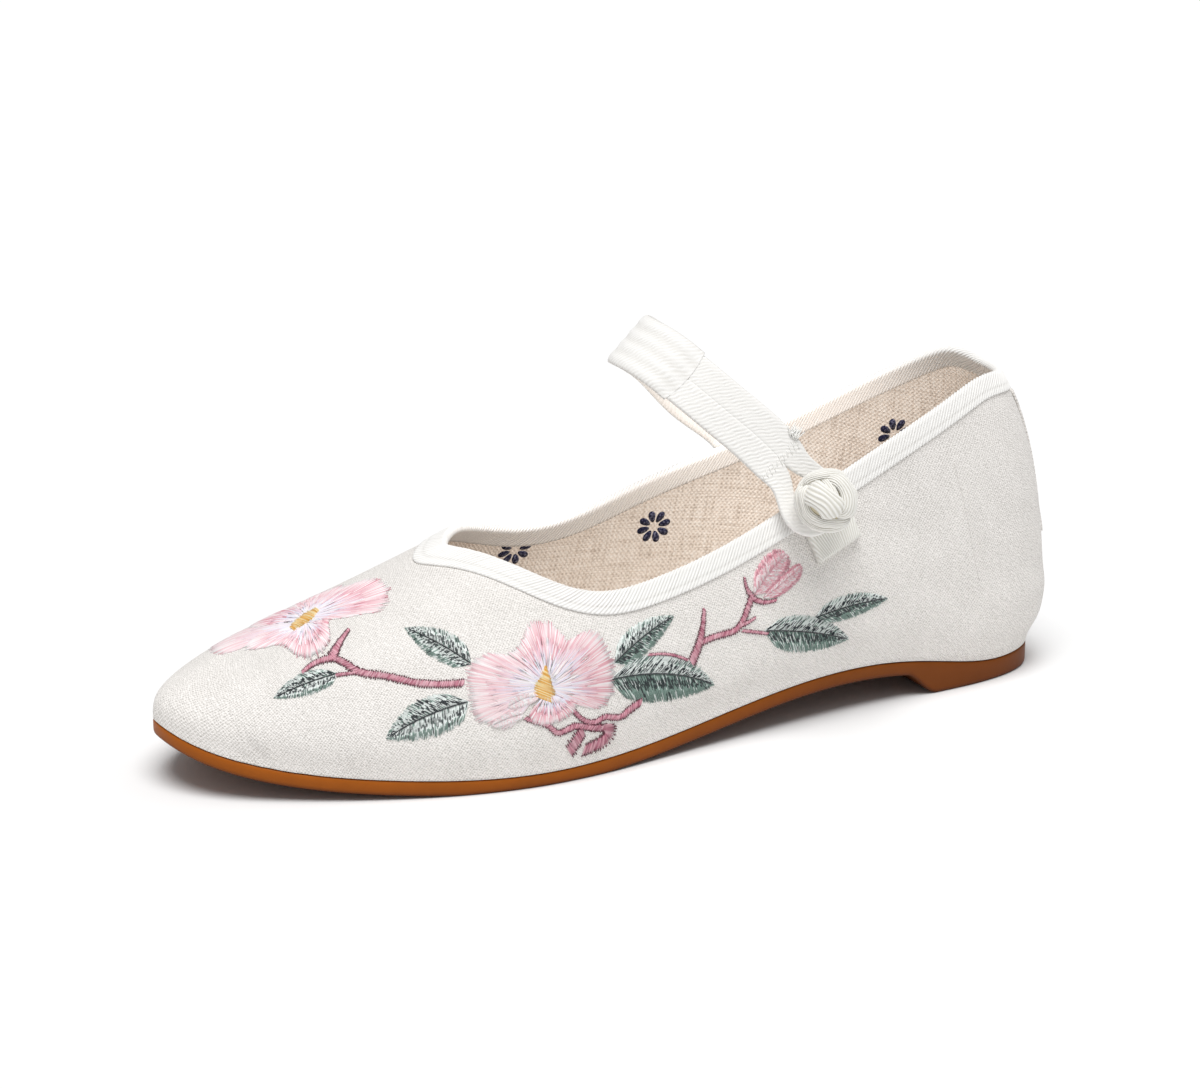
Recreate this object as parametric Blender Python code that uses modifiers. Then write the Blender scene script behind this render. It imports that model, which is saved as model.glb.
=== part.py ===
"""Embroidered cloth shoe for the left foot: cotton upper, twill binding, instep strap with a loop that
closes over a knotted ball button, and a thin rubber sole with a low heel.

The toe points to -X, the outer side of the foot faces -Y and the shoe stands on the plane Z = 0.
"""
import math

import bmesh
import bpy
import numpy as np
from mathutils import Vector
from mathutils.bvhtree import BVHTree

# Driving sizes, in millimetres. The last is laid out from the middle of the sole's length, and the shift
# puts the origin under the middle of the whole shoe.
SOLE_LENGTH = 240.0
FRAME_SHIFT = Vector((-2.3, 2.0, 0.0))
GAP = 0.3
WALL = 1.8
SOLE_EDGE = 3.3
SOLE_ROUND = 0.7
FLAT_DEPTH = 0.4
BREAST_FRONT = 193.0
BREAST_BACK = 203.0
INSOLE_INSET = 3.0
INSOLE_FRONT = 2.5
INSOLE_HEEL = 12.0
WEDGE_START = 0.45
WEDGE_FULL = 0.9
TOE_SETBACK = 18.0
HEEL_SETBACK = 42.0
SWELL_RISE = 6.0
THROAT_TIP = 0.38
THROAT_ROUND = 0.008
TAPE = 0.7
BINDING_OUTSIDE = 7.0
BINDING_INSIDE = 4.5
BINDING_FOLD = 0.6
LINING_EASE = 0.2
STRIP_WIDTH = 13.0
STRIP_TOP_ANGLE = 44.0
STRIP_END_ANGLE = 13.5
STRIP_THICKNESS = 0.8
BAND_WIDTH = 15.5
BAND_THICKNESS = 1.6
SEAM_TO_BUTTON = 45.0
LOOP_OVERLAP = 5.0
STRAND_WIDTH = 6.4
LOOP_WIDTH = 5.0
STRAND_THICKNESS = 1.6
LOOP_RADIUS = 6.4
LOOP_PARTING = 11.0
BUTTON_RADIUS = 7.8
NECK_TILT = math.radians(-75)
TAB_WIDTH = 14.0
TAB_LENGTH = 15.5
TAB_SHIFT = 3.5
TAB_THICKNESS = 1.2
BUTTON_STATION = 0.618
STRAP_INNER_STATION = 0.645
STRAP_SEWN = 15.0
STRAP_PAST_BUTTON = 12.0

# Sections of the last from toe (station 0) to heel (station 1). Lengths along the foot follow
# (1 - cos(pi station)) / 2 and half breadths are outer or inner times sin(pi station), which rounds both
# ends. edge_z is the height of the sole's top edge, ridge the height of the last over it, bulge how far
# the cloth swells over the sole, power how square the section is, and lean the slope of the ridge at the toe.
LAST_COLUMNS = ("station", "outer", "inner", "middle", "edge_z", "ridge", "bulge", "power", "lean")
LAST = np.array((
    (0.0, 44.0, 44.0, 2.0, 15.4, 14.7, 0.8, 2.0, 0.32),
    (0.1, 44.0, 47.0, 1.6, 12.3, 19.2, 1.2, 2.0, 0.28),
    (0.2, 44.0, 47.0, 2.0, 7.6, 27.5, 1.5, 2.0, 0.15),
    (0.3, 44.7, 45.0, 1.2, 4.5, 37.0, 1.5, 2.0, 0.0),
    (0.4, 43.6, 40.0, 0.5, 3.2, 49.0, 1.5, 2.0, 0.0),
    (0.5, 36.4, 33.5, 0.6, 5.5, 60.5, 1.6, 2.0, 0.0),
    (0.6, 31.7, 28.0, 0.5, 10.6, 75.0, 2.0, 2.1, 0.0),
    (0.7, 30.9, 29.0, 0.5, 10.3, 85.5, 2.5, 2.35, 0.0),
    (0.8, 36.8, 34.7, 0.2, 5.9, 91.0, 3.2, 2.6, 0.0),
    (0.9, 46.2, 46.0, 0.0, 5.7, 91.0, 4.2, 2.55, 0.0),
    (1.0, 55.5, 55.5, 0.0, 5.6, 89.5, 4.6, 2.5, 0.0),
))

# Collar edge: share of the way from the throat's tip to the heel, and the angle up the section there
COLLAR_COLUMNS = ("share", "outer", "inner")
COLLAR = np.array((
    (0.0, 90.0, 90.0),
    (0.09, 52.0, 57.0),
    (0.19, 39.0, 39.5),
    (0.28, 35.5, 37.5),
    (0.38, 34.7, 36.0),
    (0.5, 37.3, 37.0),
    (0.63, 43.6, 43.0),
    (0.75, 49.0, 49.0),
    (0.88, 50.0, 53.0),
    (1.0, 51.6, 51.6),
))

# Arch of the strap over the instep, near a plane that leans back: across is +Y, drop runs down and back
# in that plane and back is square to it
STRAP_TOP = Vector((10.5, 0.0, 94.0))
STRAP_ACROSS = Vector((0.0, 1.0, 0.0))
STRAP_DROP = Vector((0.69, 0.0, -0.72)).normalized()
STRAP_ARCH = (
    (25.5, 32.0, 4.5),
    (23.5, 15.0, 4.0),
    (18.5, 4.5, 1.5),
    (10.0, 0.5, 0.0),
    (1.0, 1.5, 0.0),
    (-8.0, 7.0, 0.0),
    (-17.0, 18.0, 0.0),
    (-24.0, 31.0, 0.0),
)

LOOP_UNDER = (BAND_THICKNESS + STRAND_THICKNESS) / 2 + GAP
OUTER = -1
INNER = 1
COLOURS = {
    "outsole": ((0.20, 0.07, 0.02), 0.35),
    "insole": ((0.62, 0.52, 0.40), 0.9),
    "upper": ((0.80, 0.78, 0.74), 0.9),
    "collar_binding": ((0.86, 0.85, 0.82), 0.85),
    "back_strip": ((0.80, 0.79, 0.76), 0.9),
    "strap_band": ((0.86, 0.84, 0.78), 0.85),
    "button_loop": ((0.84, 0.82, 0.75), 0.85),
    "knot_button": ((0.86, 0.85, 0.80), 0.6),
    "knot_tab": ((0.80, 0.79, 0.75), 0.7),
}


def clear_scene():
    for item in list(bpy.data.objects):
        bpy.data.objects.remove(item)


def smooth(knots, values, at, level_start=False, level_end=False):
    """Cubic spline through a short table, with free or level ends."""
    knots = np.asarray(knots, float)
    values = np.asarray(values, float)
    at = np.asarray(at, float)
    step = np.diff(knots)
    slope = np.diff(values) / step
    count = len(knots)
    system = np.eye(count)
    target = np.zeros(count)
    for row in range(1, count - 1):
        system[row, row - 1] = step[row - 1]
        system[row, row] = 2 * (step[row - 1] + step[row])
        system[row, row + 1] = step[row]
        target[row] = 6 * (slope[row] - slope[row - 1])
    if level_start:
        system[0, :2] = (2 * step[0], step[0])
        target[0] = 6 * slope[0]
    if level_end:
        system[-1, -2:] = (step[-1], 2 * step[-1])
        target[-1] = -6 * slope[-1]
    bend = np.linalg.solve(system, target)
    cell = np.clip(np.searchsorted(knots, at) - 1, 0, count - 2)
    width = step[cell]
    left = (knots[cell + 1] - at) / width
    right = 1 - left
    curve = (left ** 3 - left) * bend[cell] + (right ** 3 - right) * bend[cell + 1]
    return left * values[cell] + right * values[cell + 1] + curve * width ** 2 / 6


def last_value(name, station):
    """Value of a column of the last, level at toe and heel so that both ends are round."""
    return smooth(LAST[:, 0], LAST[:, LAST_COLUMNS.index(name)], station, True, True)


def along(station):
    """Distance from the toe of the sole's outline."""
    return SOLE_LENGTH * (1 - np.cos(np.pi * np.asarray(station))) / 2


def station_at(length):
    return np.arccos(1 - 2 * np.clip(length / SOLE_LENGTH, 0, 1)) / np.pi


def outline(station, side):
    """Plan position of the sole's edge."""
    half = np.sin(np.pi * station) * last_value("outer" if side == OUTER else "inner", station)
    return along(station) - SOLE_LENGTH / 2, last_value("middle", station) + side * half


def inset_outline(station, side, inset):
    """Plan position inside the sole's edge, square to it."""
    step = 0.001
    x, y = outline(station, side)
    ahead_x, ahead_y = outline(min(station + step, 1.0), side)
    behind_x, behind_y = outline(max(station - step, 0.0), side)
    run = math.hypot(ahead_x - behind_x, ahead_y - behind_y)
    inward_x = side * (ahead_y - behind_y) / run
    inward_y = -side * (ahead_x - behind_x) / run
    return x + inset * inward_x, y + inset * inward_y


def last_point(station, angle, side):
    """Point on the outside of the upper, at an angle up the section from the sole's edge."""
    edge_x, edge_y = outline(station, side)
    spine_length = SOLE_LENGTH - TOE_SETBACK - HEEL_SETBACK
    spine = TOE_SETBACK + spine_length * (1 - math.cos(math.pi * station)) / 2
    spine_x = spine - SOLE_LENGTH / 2
    spine_y = last_value("middle", station_at(spine))
    reach = math.hypot(edge_x - spine_x, edge_y - spine_y)
    toward_x = (edge_x - spine_x) / reach
    toward_y = (edge_y - spine_y) / reach
    power = 2 / last_value("power", station)
    rise = last_value("ridge", station) * math.sin(math.radians(angle)) ** power
    swell = last_value("bulge", station) * (1 - math.exp(-(rise / SWELL_RISE) ** 2))
    radius = (reach + swell) * max(math.cos(math.radians(angle)), 0.0) ** power
    tilt = last_value("lean", station) * toward_x * radius * math.sin(math.radians(angle)) ** 2
    height = last_value("edge_z", station) + GAP + rise + tilt
    return Vector((spine_x + toward_x * radius, spine_y + toward_y * radius, height))


def collar_angle(station, side):
    """Angle of the collar edge, 90 degrees ahead of the throat's tip."""
    if station <= THROAT_TIP:
        return 90.0
    share = (station - THROAT_TIP) / (1 - THROAT_TIP)
    share = math.sqrt((share ** 2 + 2 * THROAT_ROUND * share) / (1 + 2 * THROAT_ROUND))
    name = "outer" if side == OUTER else "inner"
    column = COLLAR[:, COLLAR_COLUMNS.index(name)]
    return float(smooth(COLLAR[:, 0], column, share, level_end=True))


def throat_stations(count):
    """Stations from the throat's tip to the heel, closer together at the tip."""
    shares = np.linspace(0, 1, count + 1) ** 1.5
    return THROAT_TIP + (1 - THROAT_TIP) * shares


def material(name):
    colour, roughness = COLOURS[name]
    made = bpy.data.materials.new(name)
    made.use_nodes = True
    shader = made.node_tree.nodes["Principled BSDF"]
    shader.inputs["Base Color"].default_value = (*colour, 1.0)
    shader.inputs["Roughness"].default_value = roughness
    shader.inputs["Metallic"].default_value = 0.0
    return made


def add_object(name, mesh_data):
    """Turn a bmesh in millimetres into a named object in metres."""
    bmesh.ops.scale(mesh_data, vec=(0.001, 0.001, 0.001), verts=mesh_data.verts)
    mesh = bpy.data.meshes.new(name)
    mesh_data.to_mesh(mesh)
    mesh_data.free()
    mesh.shade_smooth()
    mesh.set_sharp_from_angle(angle=math.radians(40))
    made = bpy.data.objects.new(name, mesh)
    made.location = FRAME_SHIFT * 0.001
    made.data.materials.append(material(name))
    bpy.data.collections["embroidered_cloth_shoe"].objects.link(made)
    return made


def loft(rings, closed=False):
    """Skin over rings of points, closed into a loop or capped at both ends."""
    mesh = bmesh.new()
    verts = [[mesh.verts.new(point) for point in ring] for ring in rings]
    size = len(rings[0])
    last = len(rings) if closed else len(rings) - 1
    for row in range(last):
        here = verts[row]
        there = verts[(row + 1) % len(rings)]
        for place in range(size):
            after = (place + 1) % size
            mesh.faces.new((here[place], here[after], there[after], there[place]))
    if not closed:
        mesh.faces.new(list(reversed(verts[0])))
        mesh.faces.new(verts[-1])
    return mesh


def finish(mesh):
    """Merge points that meet and turn the faces outward."""
    bmesh.ops.remove_doubles(mesh, verts=mesh.verts, dist=0.001)
    bmesh.ops.dissolve_degenerate(mesh, dist=0.0005, edges=mesh.edges)
    bmesh.ops.recalc_face_normals(mesh, faces=mesh.faces)
    return mesh


def upper_surface(columns_front=20, columns_back=34, rows=9):
    """Outside of the upper as an open surface, both sides joined along the ridge, toe and heel."""
    mesh = bmesh.new()
    front = np.linspace(0, THROAT_TIP, columns_front, endpoint=False)
    stations = np.concatenate((front, throat_stations(columns_back)))
    for side in (OUTER, INNER):
        grid = []
        for station in stations:
            top = collar_angle(station, side)
            shares = np.linspace(0, 1, rows + 1) ** 1.2
            grid.append([mesh.verts.new(last_point(station, top * share, side)) for share in shares])
        for here, there in zip(grid, grid[1:]):
            for row in range(rows):
                corners = [here[row], there[row], there[row + 1], here[row + 1]]
                if side == INNER:
                    corners.reverse()
                mesh.faces.new(corners)
    bmesh.ops.remove_doubles(mesh, verts=mesh.verts, dist=0.001)
    return mesh


class Skin:
    """The outside of the upper, for laying other pieces on it."""

    def __init__(self):
        mesh = upper_surface(36, 60, 16)
        mesh.normal_update()
        self.tree = BVHTree.FromBMesh(mesh)
        mesh.free()

    def nearest(self, point):
        place, normal, _, _ = self.tree.find_nearest(point)
        return place, normal

    def edge_frame(self, station, side):
        """Collar edge point with its direction toward the heel, down the wall, and outward."""
        step = 0.002
        ahead = min(station + step, 1.0)
        behind = max(station - step, THROAT_TIP)
        point = last_point(station, collar_angle(station, side), side)
        heelward = last_point(ahead, collar_angle(ahead, side), side)
        heelward = heelward - last_point(behind, collar_angle(behind, side), side)
        heelward.normalize()
        below = last_point(station, collar_angle(station, side) * 0.97, side)
        _, outward = self.nearest(below)
        down = heelward.cross(outward) * -side
        return point, heelward, down.normalized(), outward


def make_outsole():
    """Rubber unit: thin edge with toe spring and arch, a flat spot at the ball and a flat heel."""
    arch_stations = np.linspace(0, 1, 45)
    breast = station_at(np.linspace(BREAST_FRONT, BREAST_BACK, 6))
    stations = np.unique(np.concatenate((arch_stations, breast)))
    rings = []
    for station in stations:
        top = float(last_value("edge_z", station))
        share = np.clip((along(station) - BREAST_FRONT) / (BREAST_BACK - BREAST_FRONT), 0, 1)
        heel = share * share * (3 - 2 * share)
        tread = max(top - SOLE_EDGE - FLAT_DEPTH * (1 - heel), 0.0) * (1 - heel)
        slim_x = 1 - SOLE_ROUND / (SOLE_LENGTH / 2)
        slim_y = 1 - SOLE_ROUND / (SOLE_LENGTH / 6)
        ring = []
        for side in (OUTER, INNER):
            x, y = outline(station, side)
            edge = [(x, y, top), (x, y, tread + SOLE_ROUND), (x * slim_x, y * slim_y, tread)]
            ring += edge if side == OUTER else edge[::-1]
        rings.append(ring)
    return add_object("outsole", finish(loft(rings)))


def make_insole():
    """Sock on its board, thicker under the heel."""
    rings = []
    for station in np.linspace(0.0, 1.0, 37):
        ring = []
        for side in (OUTER, INNER):
            x, y = inset_outline(station, side, INSOLE_INSET)
            if station in (0.0, 1.0):
                y = float(last_value("middle", station))
            length = x + SOLE_LENGTH / 2
            base = float(last_value("edge_z", station_at(length))) + GAP
            wedge = min(max((length / SOLE_LENGTH - WEDGE_START) / (WEDGE_FULL - WEDGE_START), 0.0), 1.0)
            wedge = wedge * wedge * (3 - 2 * wedge)
            top = base + INSOLE_FRONT + (INSOLE_HEEL - INSOLE_FRONT) * wedge
            edge = [(x, y, top), (x, y, base)]
            ring += edge if side == OUTER else edge[::-1]
        rings.append(ring)
    return add_object("insole", finish(loft(rings)))


def make_upper():
    """Hollow wall on the last, open at the collar and underneath."""
    made = add_object("upper", upper_surface())
    wall = made.modifiers.new("wall", "SOLIDIFY")
    wall.thickness = WALL * 0.001
    wall.offset = -1.0
    wall.use_even_offset = True
    return made


def make_binding(skin):
    """Tape folded over the collar edge, as a closed ring of U section."""
    outer_stations = throat_stations(44)
    rings = []
    loop = [(station, OUTER) for station in outer_stations]
    loop += [(station, INNER) for station in outer_stations[-2:0:-1]]
    for station, side in loop:
        point, _, down, outward = skin.edge_frame(station, side)
        if station == THROAT_TIP:
            down = Vector((-1.0, 0.0, 0.0)) + outward * outward.x
            down.normalize()
        outside = []
        for reach in (BINDING_OUTSIDE, BINDING_OUTSIDE / 2, BINDING_FOLD):
            outside.append(skin.nearest(point + down * reach))
        inside = []
        for reach in (BINDING_FOLD, BINDING_INSIDE / 2, BINDING_INSIDE):
            inside.append(skin.nearest(point + down * reach))
        cloth = GAP + TAPE
        lining = WALL + LINING_EASE
        ring = [place + normal * cloth for place, normal in outside]
        ring.append(point - down * cloth + outward * LINING_EASE)
        ring.append(point - down * cloth - outward * lining)
        ring += [place - normal * (lining + cloth) for place, normal in inside]
        ring += [place - normal * (lining + GAP) for place, normal in reversed(inside)]
        ring.append(point - down * GAP - outward * lining)
        ring.append(point - down * GAP + outward * LINING_EASE / 2)
        ring += [place + normal * GAP for place, normal in reversed(outside)]
        rings.append(ring)
    return add_object("collar_binding", finish(loft(rings, closed=True)))


def make_back_strip(skin):
    """Tape down the back seam, starting below the binding."""
    rings = []
    for angle in np.linspace(STRIP_TOP_ANGLE, STRIP_END_ANGLE, 9):
        seam = last_point(1.0, angle, OUTER)
        across = []
        for offset in np.linspace(-STRIP_WIDTH / 2, STRIP_WIDTH / 2, 7):
            across.append(skin.nearest(seam + STRAP_ACROSS * offset))
        ring = [place + normal * (GAP + STRIP_THICKNESS) for place, normal in across]
        ring += [place + normal * GAP for place, normal in reversed(across)]
        rings.append(ring)
    return add_object("back_strip", finish(loft(rings)))


class Strap:
    """Middle line of the strap from the inner side, over the instep, to the button and past it."""

    def __init__(self, skin):
        inner = skin.edge_frame(STRAP_INNER_STATION, INNER)
        button = skin.edge_frame(BUTTON_STATION, OUTER)
        lift = GAP + TAPE + GAP + BAND_THICKNESS / 2
        self.points = []
        self.widths = []
        point, heelward, down, outward = inner
        for reach in (STRAP_SEWN, STRAP_SEWN / 2, 1.0):
            place, normal = skin.nearest(point + down * reach)
            self.points.append(place + normal * (lift + LINING_EASE))
            self.widths.append(-heelward)
        forward = STRAP_ACROSS.cross(STRAP_DROP).normalized()
        self.widths[-1] = (forward - heelward).normalized()
        for across, drop, back in STRAP_ARCH:
            self.points.append(STRAP_TOP + STRAP_ACROSS * across + STRAP_DROP * drop - forward * back)
            self.widths.append(forward)
        point, heelward, down, outward = button
        self.neck = point + outward * self.loop_lift()
        self.points += [self.neck, self.neck + down * STRAP_PAST_BUTTON]
        self.widths += [-heelward, -heelward]
        self.lengths = np.zeros(len(self.points))
        for place in range(1, len(self.points)):
            hop = (self.points[place] - self.points[place - 1]).length
            self.lengths[place] = self.lengths[place - 1] + hop
        self.neck_length = self.lengths[-2]
        self.seam_length = self.neck_length - SEAM_TO_BUTTON

    @staticmethod
    def loop_lift():
        """Height of the strap's middle line over the upper where the loop lies on the tab."""
        strands = GAP + TAPE + GAP + TAB_THICKNESS + GAP + STRAND_THICKNESS / 2
        return strands + LOOP_UNDER

    def at(self, length):
        """Point, direction, width direction and outward direction at a length along the strap."""
        point = self.blend(self.points, length)
        ahead = self.blend(self.points, length + 0.5)
        behind = self.blend(self.points, length - 0.5)
        direction = (ahead - behind).normalized()
        width = self.blend(self.widths, length)
        width = (width - direction * width.dot(direction)).normalized()
        return point, direction, width, width.cross(direction)

    def blend(self, vectors, length):
        columns = np.array(vectors).T
        return Vector([float(smooth(self.lengths, column, length)) for column in columns])


def flat_section(centre, wide, thick, width, thickness):
    """Ring of a flat band with rounded edges."""
    square = 0.35
    full = math.cos(math.pi / 8) ** square
    ring = []
    for turn in range(8):
        angle = (turn + 0.5) * math.pi / 4
        across = math.copysign(abs(math.cos(angle)) ** square, math.cos(angle)) / full
        up = math.copysign(abs(math.sin(angle)) ** square, math.sin(angle)) / full
        ring.append(centre + wide * (across * width / 2) + thick * (up * thickness / 2))
    return ring


def make_strap_band(strap):
    """Band from the inner side over the instep, up to the seam where the loop comes out."""
    rings = []
    for length in np.linspace(0.0, strap.seam_length, 34):
        point, _, width, outward = strap.at(length)
        rings.append(flat_section(point, width, outward, BAND_WIDTH, BAND_THICKNESS))
    return add_object("strap_band", finish(loft(rings)))


def loop_route(strap):
    """Length along the strap and offset across it, down one strand, round the button and back."""
    start = strap.seam_length - LOOP_OVERLAP
    closed = STRAND_WIDTH / 2 + GAP / 2
    parting = strap.neck_length - LOOP_PARTING
    route = [(length, closed) for length in np.linspace(start, parting, 9)]
    for share in np.linspace(0, 1, 6)[1:]:
        ease = share * share * (3 - 2 * share)
        route.append((parting + LOOP_PARTING * share, closed + (LOOP_RADIUS - closed) * ease))
    for turn in np.linspace(0, math.pi / 2, 6)[1:]:
        route.append((strap.neck_length + LOOP_RADIUS * math.sin(turn), LOOP_RADIUS * math.cos(turn)))
    return route + [(length, -offset) for length, offset in route[-2::-1]]


def make_button_loop(strap):
    """Doubled tape under the end of the band: two strands that part around the button's neck."""
    route = loop_route(strap)
    rings = []
    for place, (length, offset) in enumerate(route):
        before = route[max(place - 1, 0)]
        after = route[min(place + 1, len(route) - 1)]
        run = np.array(after) - np.array(before)
        run = run / np.hypot(*run)
        point, direction, width, outward = strap.at(length)
        centre = point + width * offset - outward * LOOP_UNDER
        wide = width * run[0] - direction * run[1]
        parted = min(max((length - strap.neck_length + LOOP_PARTING) / LOOP_PARTING, 0.0), 1.0)
        breadth = STRAND_WIDTH + (LOOP_WIDTH - STRAND_WIDTH) * parted
        rings.append(flat_section(centre, wide, outward, breadth, STRAND_THICKNESS))
    return add_object("button_loop", finish(loft(rings)))


def make_knot_button(skin):
    """Ball of knotted cord: strands crossing over a sphere, drawn out into a neck at its foot."""
    point, heelward, down, outward = skin.edge_frame(BUTTON_STATION, OUTER)
    tab_top = GAP + TAPE + GAP + TAB_THICKNESS
    loop_inside = LOOP_RADIUS - LOOP_WIDTH / 2
    seat = BUTTON_RADIUS - math.sqrt(BUTTON_RADIUS ** 2 - loop_inside ** 2)
    foot = tab_top + GAP + STRAND_THICKNESS + GAP - seat
    centre = point + outward * (foot + BUTTON_RADIUS)
    mesh = bmesh.new()
    bmesh.ops.create_uvsphere(mesh, u_segments=24, v_segments=14, radius=1.0)
    for vert in mesh.verts:
        unit = vert.co.normalized()
        around = math.atan2(unit.y, unit.x)
        tilt = math.asin(max(-1.0, min(1.0, unit.z)))
        strand = abs(math.sin(2 * around + 3 * tilt)) * abs(math.sin(2 * around - 3 * tilt))
        radius = BUTTON_RADIUS * (0.93 + 0.07 * strand * math.cos(tilt))
        sideways = heelward * unit.x + down * unit.y
        vert.co = centre + (sideways + outward * unit.z) * radius
        if tilt < NECK_TILT:
            vert.co = point + outward * (tab_top + GAP) + sideways * radius
    return add_object("knot_button", finish(mesh))


def make_knot_tab(skin):
    """Ends of the button's tape, sewn flat over the binding."""
    point, heelward, down, _ = skin.edge_frame(BUTTON_STATION, OUTER)
    inside = GAP + TAPE + GAP
    rings = []
    for reach in np.linspace(0.5, TAB_LENGTH, 8):
        across = []
        for offset in np.linspace(-TAB_WIDTH / 2, TAB_WIDTH / 2, 5):
            across.append(skin.nearest(point + down * reach + heelward * (TAB_SHIFT + offset)))
        ring = [place + normal * (inside + TAB_THICKNESS) for place, normal in across]
        ring += [place + normal * inside for place, normal in reversed(across)]
        rings.append(ring)
    return add_object("knot_tab", finish(loft(rings)))


def main():
    clear_scene()
    shoe = bpy.data.collections.new("embroidered_cloth_shoe")
    bpy.context.scene.collection.children.link(shoe)
    skin = Skin()
    strap = Strap(skin)
    make_outsole()
    make_insole()
    make_upper()
    make_binding(skin)
    make_back_strip(skin)
    make_strap_band(strap)
    make_button_loop(strap)
    make_knot_button(skin)
    make_knot_tab(skin)


main()
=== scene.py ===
"""Looks of the embroidered cloth shoe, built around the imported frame.

Lengths are in millimetres until a piece is made. The toe points to -X, the outer side of the foot faces -Y
and the shoe stands on the plane Z = 0.
"""
import math
from functools import partial

import bmesh
import bpy
import numpy as np
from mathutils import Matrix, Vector
from mathutils.bvhtree import BVHTree


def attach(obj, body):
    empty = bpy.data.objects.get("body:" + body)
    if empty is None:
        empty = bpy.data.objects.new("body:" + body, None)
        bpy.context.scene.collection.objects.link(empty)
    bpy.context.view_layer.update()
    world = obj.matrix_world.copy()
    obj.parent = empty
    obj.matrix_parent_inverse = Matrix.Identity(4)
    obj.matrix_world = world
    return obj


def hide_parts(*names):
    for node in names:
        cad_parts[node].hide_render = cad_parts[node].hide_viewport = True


MM = 0.001
SEED = 7
OUTER = -1
INNER = 1
SIDE_NAMES = {OUTER: "outer", INNER: "inner"}
UP = np.array((0.0, 0.0, 1.0))

# Sizes of the solids, which the pieces here follow
SOLE_LENGTH = 240.0
FRAME_SHIFT = np.array((-2.3, 2.0, 0.0))
GAP = 0.3
SOLE_EDGE = 3.3
FLAT_DEPTH = 0.4
BREAST_FRONT = 193.0
BREAST_BACK = 203.0
INSOLE_INSET = 3.0
INSOLE_FRONT = 2.5
INSOLE_HEEL = 12.0
WEDGE_START = 0.45
WEDGE_FULL = 0.9
TOE_SETBACK = 18.0
HEEL_SETBACK = 42.0
SWELL_RISE = 6.0
THROAT_TIP = 0.38
THROAT_ROUND = 0.008
TAPE = 0.7
LINING_EASE = 0.2
STRIP_WIDTH = 13.0
STRIP_TOP_ANGLE = 44.0
STRIP_END_ANGLE = 13.5
STRIP_THICKNESS = 0.8
BAND_WIDTH = 15.5
BAND_THICKNESS = 1.6
SEAM_TO_BUTTON = 45.0
LOOP_OVERLAP = 5.0
STRAND_WIDTH = 6.4
LOOP_WIDTH = 5.0
STRAND_THICKNESS = 1.6
LOOP_RADIUS = 6.4
LOOP_PARTING = 11.0
BUTTON_RADIUS = 7.8
TAB_WIDTH = 14.0
TAB_LENGTH = 15.5
TAB_SHIFT = 3.5
TAB_THICKNESS = 1.2
BUTTON_STATION = 0.618
STRAP_INNER_STATION = 0.645
STRAP_SEWN = 15.0
STRAP_PAST_BUTTON = 12.0
LOOP_UNDER = (BAND_THICKNESS + STRAND_THICKNESS) / 2 + GAP
OVER_BINDING = GAP + TAPE + GAP
TAB_TOP = OVER_BINDING + TAB_THICKNESS

# Sections of the last from toe (station 0) to heel (station 1), as in the solids
LAST_COLUMNS = ("station", "outer", "inner", "middle", "edge_z", "ridge", "bulge", "power", "lean")
LAST = np.array((
    (0.0, 44.0, 44.0, 2.0, 15.4, 14.7, 0.8, 2.0, 0.32),
    (0.1, 44.0, 47.0, 1.6, 12.3, 19.2, 1.2, 2.0, 0.28),
    (0.2, 44.0, 47.0, 2.0, 7.6, 27.5, 1.5, 2.0, 0.15),
    (0.3, 44.7, 45.0, 1.2, 4.5, 37.0, 1.5, 2.0, 0.0),
    (0.4, 43.6, 40.0, 0.5, 3.2, 49.0, 1.5, 2.0, 0.0),
    (0.5, 36.4, 33.5, 0.6, 5.5, 60.5, 1.6, 2.0, 0.0),
    (0.6, 31.7, 28.0, 0.5, 10.6, 75.0, 2.0, 2.1, 0.0),
    (0.7, 30.9, 29.0, 0.5, 10.3, 85.5, 2.5, 2.35, 0.0),
    (0.8, 36.8, 34.7, 0.2, 5.9, 91.0, 3.2, 2.6, 0.0),
    (0.9, 46.2, 46.0, 0.0, 5.7, 91.0, 4.2, 2.55, 0.0),
    (1.0, 55.5, 55.5, 0.0, 5.6, 89.5, 4.6, 2.5, 0.0),
))
COLLAR_COLUMNS = ("share", "outer", "inner")
COLLAR = np.array((
    (0.0, 90.0, 90.0),
    (0.09, 52.0, 57.0),
    (0.19, 39.0, 39.5),
    (0.28, 35.5, 37.5),
    (0.38, 34.7, 36.0),
    (0.5, 37.3, 37.0),
    (0.63, 43.6, 43.0),
    (0.75, 49.0, 49.0),
    (0.88, 50.0, 53.0),
    (1.0, 51.6, 51.6),
))
STRAP_TOP = np.array((10.5, 0.0, 94.0))
STRAP_ACROSS = np.array((0.0, 1.0, 0.0))
STRAP_DROP = np.array((0.69, 0.0, -0.72)) / math.hypot(0.69, 0.72)
STRAP_ARCH = (
    (25.5, 32.0, 4.5),
    (23.5, 15.0, 4.0),
    (18.5, 4.5, 1.5),
    (10.0, 0.5, 0.0),
    (1.0, 1.5, 0.0),
    (-8.0, 7.0, 0.0),
    (-17.0, 18.0, 0.0),
    (-24.0, 31.0, 0.0),
)

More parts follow.
